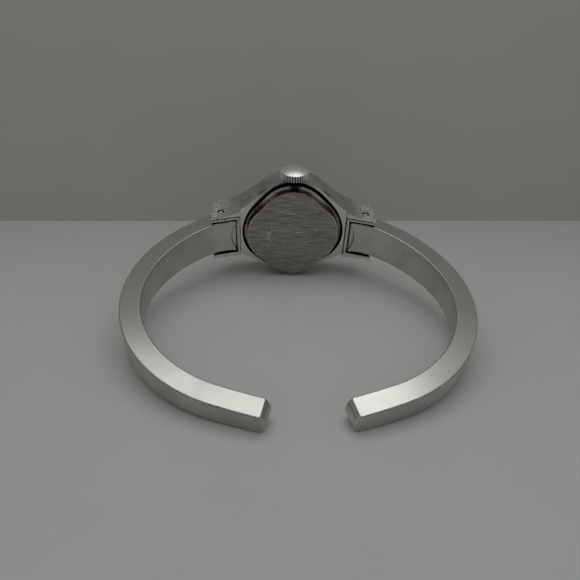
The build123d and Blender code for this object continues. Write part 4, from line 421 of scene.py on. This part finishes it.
        # Painted shade in the grooves between the crown's flutes
        across, depth, _ = watch_axes(tree, (0, STEM_DEPTH, 0))
        angle = calculate(tree, "ARCTAN2", depth, across)
        wave = calculate(tree, "COSINE", calculate(tree, "MULTIPLY", angle, FLUTES))
        flute_shade = ramp(tree, wave, -0.1, 0.5)
        flute_shade = both(tree, flute_shade, facing(tree, HEIGHT, 0.2, 0.1))
        metal = coat(tree, flute_shade, metal, look.grime_and_shade, 0.6)
        finish(tree, shader, metal, hair, 0.002 * MM)
        dress(material, "crown")

        # Polished stainless steel ring under the crystal: mirror-like with a few hairlines
        material, tree, shader = new_material("polished_stainless_dial_ring")
        hair = marks(tree, (width * 0.7, long, width * 0.7), 0.55, 0.7)
        finish(tree, shader, base(tree, hair, look.bright, look.satin, 0.12, 0.25), hair, 0.002 * MM)
        dress(material, "dial_ring")

        # Turned stainless steel: fine rings round the axis, seen only with the crown pulled out
        material, tree, shader = new_material("turned_stainless_stem")
        rings = marks(tree, (5 * MM, 5 * MM, width * 0.6), 0.3, 0.7)
        finish(tree, shader, base(tree, rings, look.satin, look.dull_and_shade, 0.22, 0.36), rings, 0.004 * MM)
        dress(material, "case_tube", "stem")
        return {"FINISHED"}


class CUFFWATCH_OT_arms(bpy.types.Operator):
    """Finishes the arms, the hinge brackets, the leaf springs and the pins"""

    bl_idname = "cuffwatch.arms"
    bl_label = "Arms and hinges"

    def execute(self, context):
        look = context.scene.cuffwatch_steel
        width, long = look.line_width, look.line_length

        # Brushed stainless steel: lines across the band on its broad faces, satin edges, worn corners.
        # The lines are drawn wider than their 0.03 mm here too.
        material, tree, shader = new_material("brushed_stainless_arm")
        fine = marks(tree, (width, width, long), 0.28, 0.72, 4.0)
        clouds = marks(tree, (6 * MM, 6 * MM, 6 * MM), 0.3, 0.7, 2.0)
        broad = base(tree, fine, look.dull_and_shade, look.arm, 0.34, 0.26)
        broad = coat(tree, clouds, broad, look.arm, 0.3)
        edge = base(tree, clouds, look.satin, look.arm, 0.2, 0.25)
        edges = both(tree, facing(tree, HEIGHT, 0.8, 0.95), facing(tree, -HEIGHT, 0.8, 0.95), "ADD")
        metal = over(tree, edges, broad, edge)
        # Painted shade on the arm's top and bottom faces where they lie between the bracket's ears
        across, depth, height = watch_axes(tree)
        between = ramp(tree, depth, EAR_REAR - 2 * FADE, EAR_REAR + 2 * FADE)
        near = ramp(tree, calculate(tree, "ABSOLUTE", across), CASE_END + FADE, CASE_END - FADE)
        metal = coat(tree, both(tree, edges, both(tree, between, near)), metal, look.grime_and_shade, 0.7)
        # Distance to the band's upper and lower corners
        half = calculate(tree, "MULTIPLY_ADD", depth, ARM_TAPER, ARM_HALF_WIDTH)
        inside = calculate(tree, "SUBTRACT", half, calculate(tree, "ABSOLUTE", height))
        corner = ramp(tree, inside, 0.32, 0.12)
        on_broad = calculate(tree, "SUBTRACT", 1.0, edges)
        corner = both(tree, corner, on_broad)
        # Painted shade along the corners: a darker tone that holds back the highlight their rounding catches
        metal = coat(tree, corner, metal, look.dull_and_shade, 0.5)
        worn = both(tree, corner, marks(tree, (look.wear,) * 3, 0.56, 0.62))
        metal = coat(tree, worn, metal, look.bright, 0.15)
        nicks = both(tree, corner, marks(tree, (look.wear,) * 3, 0.6, 0.64, 3.0, (5, 9, 2)))
        metal = coat(tree, nicks, metal, look.grime_and_shade, 0.6)
        # Small dark pits in the broad faces
        pits = add_node(
            tree, "ShaderNodeTexVoronoi", {"feature": "F1", "Scale": 1.0},
            {"Vector": watch_place(tree, (2.6 * MM,) * 3)},
        )
        pit = ramp(tree, pits.outputs["Distance"], 0.055, 0.035)
        pit = both(tree, pit, marks(tree, (7 * MM,) * 3, 0.5, 0.52, 2.0, (1, 2, 8)))
        metal = coat(tree, pit, metal, look.grime_and_shade, 0.6)
        finish(tree, shader, metal, both(tree, fine, on_broad), 0.006 * MM)
        dress(material, "arm_right", "arm_left")

        # Stamped stainless sheet: rolled grey with rubbed bright spots
        material, tree, shader = new_material("stamped_stainless_bracket")
        rubbed = marks(tree, (look.wear * 1.3,) * 3, 0.42, 0.62)
        rolled = marks(tree, (width, width, long), 0.3, 0.7)
        metal = coat(tree, rubbed, base(tree, rolled, look.satin, look.dull_and_shade, 0.26, 0.36), look.bright, 0.25)
        # Painted shade on the inner faces of the ears, which face the arm across a narrow gap
        _, _, height = watch_axes(tree)
        upper = both(tree, facing(tree, -HEIGHT, 0.6, 0.8), ramp(tree, height, 0, 0.5))
        lower = both(tree, facing(tree, HEIGHT, 0.6, 0.8), ramp(tree, height, 0, -0.5))
        inner = both(tree, upper, lower, "ADD")
        metal = coat(tree, inner, metal, look.grime_and_shade, 0.7)
        finish(tree, shader, metal, rolled, 0.006 * MM)
        dress(material, "bracket_right", "bracket_left")

        # Cold-rolled spring steel, ground by hand: grey with short uneven lines
        material, tree, shader = new_material("cold_rolled_leaf_spring")
        rolled = marks(tree, (width, width, long), 0.3, 0.7)
        finish(tree, shader, base(tree, rolled, look.satin, look.dull_and_shade, 0.2, 0.34), rolled, 0.004 * MM)
        dress(material, "arm_spring_right", "arm_spring_left")

        # Peened stainless pin: bright, slightly uneven end
        material, tree, shader = new_material("peened_stainless_pin")
        dents = marks(tree, (look.wear,) * 3, 0.3, 0.7)
        finish(tree, shader, base(tree, dents, look.shine_and_highlight, look.bright, 0.35, 0.45), dents, 0.02 * MM)
        dress(material, "hinge_pin_right", "hinge_pin_left")
        return {"FINISHED"}


class CUFFWATCH_OT_dial(bpy.types.Operator):
    """Finishes the crystal, the dial, the markers, the hands and the gaskets"""

    bl_idname = "cuffwatch.dial"
    bl_label = "Dial side"

    def execute(self, context):
        look = context.scene.cuffwatch_dial
        inner = context.scene.cuffwatch_movement

        # Cast acrylic: clear, faintly warm, with fine scratches that catch light
        material, tree, shader = new_material("cast_acrylic_crystal", 0.0)
        scratch = marks(tree, (look.scratch, look.scratch, look.scratch * 40), 0.66, 0.7)
        clear = base(tree, scratch, look.crystal, look.crystal, 0.01, 0.2)
        finish(tree, shader, clear, scratch, 0.001 * MM)
        shader.inputs["IOR"].default_value = 1.49
        shader.inputs["Transmission Weight"].default_value = 1.0
        dress(material, "crystal")

        # Silvered brass, brushed outwards from the centre: rays that turn light and dark
        material, tree, shader = new_material("silvered_brass_dial")
        across, _, height = watch_axes(tree)
        # One ray is a seventh of a degree wide, drawn as half a degree so that it shows
        ray = calculate(tree, "MULTIPLY", calculate(tree, "ARCTAN2", height, across), 1 / radians(0.5))
        rays = noise_along(tree, ray)
        finish(tree, shader, base(tree, rays, look.dial_line, look.dial, 0.3, 0.2), rays, 0.003 * MM)
        dress(material, "dial")

        # Brass, lacquered dark: glossy, worn to the metal in fine lines
        material, tree, shader = new_material("lacquered_brass_hand")
        grain = marks(tree, (0.08 * MM, 0.08 * MM, 1.2 * MM), 0.35, 0.65)
        finish(tree, shader, base(tree, grain, look.hand, inner.steel_dark, 0.16, 0.3), grain, 0.002 * MM)
        dress(material, "hour_hand", "minute_hand", "hour_markers")

        # Moulded nitrile rubber: matt black with a fine grey bloom
        material, tree, shader = new_material("moulded_nitrile_gasket", 0.0)
        bloom = marks(tree, (0.3 * MM,) * 3, 0.4, 0.8)
        finish(tree, shader, base(tree, bloom, inner.rubber, inner.bloom, 0.55, 0.75), bloom, 0.01 * MM)
        dress(material, "back_gasket", "crown_gasket")

        # Moulded nylon: cream white with a soft, slightly uneven sheen
        material, tree, shader = new_material("moulded_nylon_ring", 0.0)
        flow = marks(tree, (1.5 * MM, 1.5 * MM, 1.5 * MM), 0.3, 0.7)
        finish(tree, shader, base(tree, flow, inner.nylon, inner.nylon_dark, 0.35, 0.5), flow, 0.01 * MM)
        dress(material, "movement_ring")
        return {"FINISHED"}


class CUFFWATCH_OT_movement(bpy.types.Operator):
    """Finishes the plate, the bridges, the wheels, the springs and the jewels"""

    bl_idname = "cuffwatch.movement"
    bl_label = "Movement"

    def execute(self, context):
        look = context.scene.cuffwatch_movement

        # Nickel-plated brass, ground in overlapping circles: soft round highlights
        material, tree, shader = new_material("pearled_nickel_plate")
        pearls = add_node(
            tree, "ShaderNodeTexVoronoi", {"feature": "F1", "Scale": 1.0, "Randomness": 0.25},
            {"Vector": watch_place(tree, (look.pearl, look.pearl * 4, look.pearl))},
        ).outputs["Distance"]
        finish(tree, shader, base(tree, pearls, look.nickel, look.nickel_dark, 0.22, 0.34), pearls, 0.02 * MM)
        dress(material, "mainplate")

        # Nickel-plated brass, ground in straight stripes: bands that turn light and dark
        material, tree, shader = new_material("striped_nickel_bridge")
        stripes = add_node(
            tree, "ShaderNodeTexWave", {"bands_direction": "DIAGONAL", "Scale": 0.5, "Distortion": 0.0},
            {"Vector": watch_place(tree, (look.stripe, look.stripe * 40, look.stripe))},
        ).outputs["Fac"]
        striped = base(tree, stripes, look.nickel_dark, look.nickel, 0.32, 0.2)
        finish(tree, shader, striped, stripes, 0.01 * MM)
        dress(material, "barrel_bridge", "train_bridge", "balance_cock", "pallet_bridge")

        # Gilt brass, turned and cut: warm yellow with fine lines
        material, tree, shader = new_material("gilt_brass_wheel")
        lines = marks(tree, (1.2 * MM, 0.08 * MM, 0.08 * MM), 0.3, 0.7)
        finish(tree, shader, base(tree, lines, look.brass_dark, look.brass, 0.3, 0.18), lines, 0.003 * MM)
        dress(
            material, "centre_wheel", "third_wheel", "fourth_wheel", "barrel", "barrel_cover",
            "balance_wheel", "hour_wheel", "minute_wheel",
        )

        # Hardened steel, polished: bright with a little grain
        material, tree, shader = new_material("polished_hardened_steel")
        grain = marks(tree, (0.06 * MM, 0.06 * MM, 0.8 * MM), 0.35, 0.7)
        finish(tree, shader, base(tree, grain, look.steel, look.steel_dark, 0.1, 0.24), grain, 0.002 * MM)
        dress(
            material, "bridge_screws", "ratchet_screw", "crown_wheel_screw", "escape_wheel", "pallet_fork",
            "balance_staff", "barrel_arbor", "winding_pinion", "castle_wheel", "setting_wheel",
            "cannon_pinion", "setting_lever", "yoke", "click", "regulator",
        )

        # Hardened steel, ground in rings about the wheel's own centre: light that turns round with them
        for name in ("ratchet_wheel", "crown_wheel"):
            material, tree, shader = new_material("ring_ground_steel_" + name)
            low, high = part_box(name)
            centre = (Vector(low) + Vector(high)) / 2
            middle = Matrix.Rotation(-LEAN, 3, "X") @ (centre - BACK_CENTRE) / MM
            across, _, height = watch_axes(tree, (middle.x, 0, middle.z))
            # One ground ring is 0.08 mm wide
            rings = noise_along(tree, calculate(tree, "MULTIPLY", distance(tree, across, height), 12.5))
            finish(tree, shader, base(tree, rings, look.steel, look.steel_dark, 0.16, 0.3), rings, 0.004 * MM)
            dress(material, name)

        # Spring steel, blued by heat: dark blue sheen with greyer clouds
        material, tree, shader = new_material("blued_spring_steel")
        heat = marks(tree, (1.5 * MM,) * 3, 0.3, 0.7)
        finish(tree, shader, base(tree, heat, look.blue, look.steel_dark, 0.2, 0.26), heat, 0.001 * MM)
        dress(material, "mainspring", "click_spring", "yoke_spring", "hairspring")

        # Synthetic ruby, polished: clear deep red
        material, tree, shader = new_material("synthetic_ruby_jewel", 0.0)
        depth = marks(tree, (0.4 * MM,) * 3, 0.3, 0.7)
        finish(tree, shader, base(tree, depth, look.ruby, look.ruby_light, 0.04, 0.1), depth, 0.001 * MM)
        shader.inputs["IOR"].default_value = 1.76
        shader.inputs["Transmission Weight"].default_value = 0.6
        dress(material, "jewels")
        return {"FINISHED"}


class CUFFWATCH_OT_stage(bpy.types.Operator):
    """Builds the floor, the backdrop, the lamps, the world and the camera"""

    bl_idname = "cuffwatch.stage"
    bl_label = "Stage"

    def execute(self, context):
        studio = context.scene.cuffwatch_studio
        wall_place = (0, studio.wall_distance, studio.wall_height / 2)
        wall_turn = (radians(90), 0, studio.wall_turn)
        for name, colour, side, place, turn in (
            ("floor", studio.floor, PAPER_WIDTH, (0, 0, 0), (0, 0, 0)),
            ("backdrop", studio.wall, studio.wall_height, wall_place, wall_turn),
        ):
            bpy.ops.object.select_all(action="DESELECT")
            bpy.ops.mesh.primitive_plane_add(size=1, location=place, rotation=turn)
            plane = context.object
            plane.scale = (PAPER_WIDTH, side, 1)
            bpy.ops.object.transform_apply(location=False, rotation=False, scale=True)
            plane.name = name
            material, tree, shader = new_material("matt_paper_" + name, 0.0)
            on_sheet = add_node(tree, "ShaderNodeTexCoord").outputs["Object"]
            specks = add_node(
                tree, "ShaderNodeTexNoise", {"Scale": PAPER_SPECKS, "Detail": 4.0}, {"Vector": on_sheet}
            )
            darker = [c * SPECK_TONE for c in colour[:3]] + [1]
            finish(tree, shader, base(tree, specks.outputs["Fac"], darker, colour, 0.8, 0.7))
            if name == "backdrop":
                # One-sided, so that the watch is seen from behind as well
                rear = add_node(tree, "ShaderNodeNewGeometry").outputs["Backfacing"]
                clear = add_node(tree, "ShaderNodeBsdfTransparent").outputs["BSDF"]
                sheet = add_node(
                    tree, "ShaderNodeMixShader", links={0: rear, 1: shader.outputs["BSDF"], 2: clear}
                )
                output = next(node for node in tree.nodes if node.type == "OUTPUT_MATERIAL")
                tree.links.new(sheet.outputs["Shader"], output.inputs["Surface"])
            plane.data.materials.append(material)
        # Each lamp with its power, its size, its place and the point that it is aimed at
        for name, power, size, place, aim in (
            ("key_lamp", studio.key, 0.28, (-0.03, 0.0, 0.25), (-0.03, 0.0, 0)),
            ("accent_lamp", studio.accent, 0.04, (0.05, 0.074, 0.22), (0, 0, 0)),
            ("back_lamp", studio.back, 0.14, (0.0, 0.02, 0.15), (0.0, 0.02, 0)),
            ("fill_lamp", studio.fill, 0.3, (0.18, -0.38, 0.25), (0, 0, 0.01)),
        ):
            lamp = bpy.data.lights.new(name, "AREA")
            lamp.energy = power
            lamp.size = size
            holder = bpy.data.objects.new(name, lamp)
            context.scene.collection.objects.link(holder)
            holder.location = place
            holder.rotation_euler = (Vector(aim) - Vector(place)).to_track_quat("-Z", "Y").to_euler()
        world = bpy.data.worlds.new("studio_world")
        world.use_nodes = True
        ground = world.node_tree.nodes["Background"]
        ground.inputs["Color"].default_value = (1, 1, 1, 1)
        ground.inputs["Strength"].default_value = studio.world
        context.scene.world = world
        camera = bpy.data.cameras.new("camera")
        camera.lens = studio.lens
        camera.sensor_width = 36
        camera.clip_start = 0.005
        holder = bpy.data.objects.new("camera", camera)
        context.scene.collection.objects.link(holder)
        holder.location = studio.camera_place
        holder.rotation_euler = studio.camera_turn
        context.scene.camera = holder
        context.scene.view_settings.view_transform = "Standard"
        return {"FINISHED"}


OPERATORS = (
    CUFFWATCH_OT_case, CUFFWATCH_OT_arms, CUFFWATCH_OT_dial, CUFFWATCH_OT_movement, CUFFWATCH_OT_stage
)


class CUFFWATCH_PT_panel(bpy.types.Panel):
    """Lists the steps that dress the watch"""

    bl_idname = "CUFFWATCH_PT_panel"
    bl_label = "Cuff watch"
    bl_space_type = "VIEW_3D"
    bl_region_type = "UI"
    bl_category = "Cuff watch"

    def draw(self, context):
        for operator in OPERATORS:
            self.layout.operator(operator.bl_idname)


SETTINGS = {
    "cuffwatch_steel": SteelSettings, "cuffwatch_dial": DialSettings, "cuffwatch_movement": MovementSettings,
    "cuffwatch_studio": StudioSettings,
}
CLASSES = (*SETTINGS.values(), *OPERATORS, CUFFWATCH_PT_panel)


def register():
    for cls in CLASSES:
        bpy.utils.register_class(cls)
    for name, group in SETTINGS.items():
        setattr(bpy.types.Scene, name, bpy.props.PointerProperty(type=group))


def unregister():
    for name in SETTINGS:
        delattr(bpy.types.Scene, name)
    for cls in reversed(CLASSES):
        bpy.utils.unregister_class(cls)


def main():
    register()
    bpy.ops.cuffwatch.case()
    bpy.ops.cuffwatch.arms()
    bpy.ops.cuffwatch.dial()
    bpy.ops.cuffwatch.movement()
    bpy.ops.cuffwatch.stage()


if __name__ == "__main__":
    main()
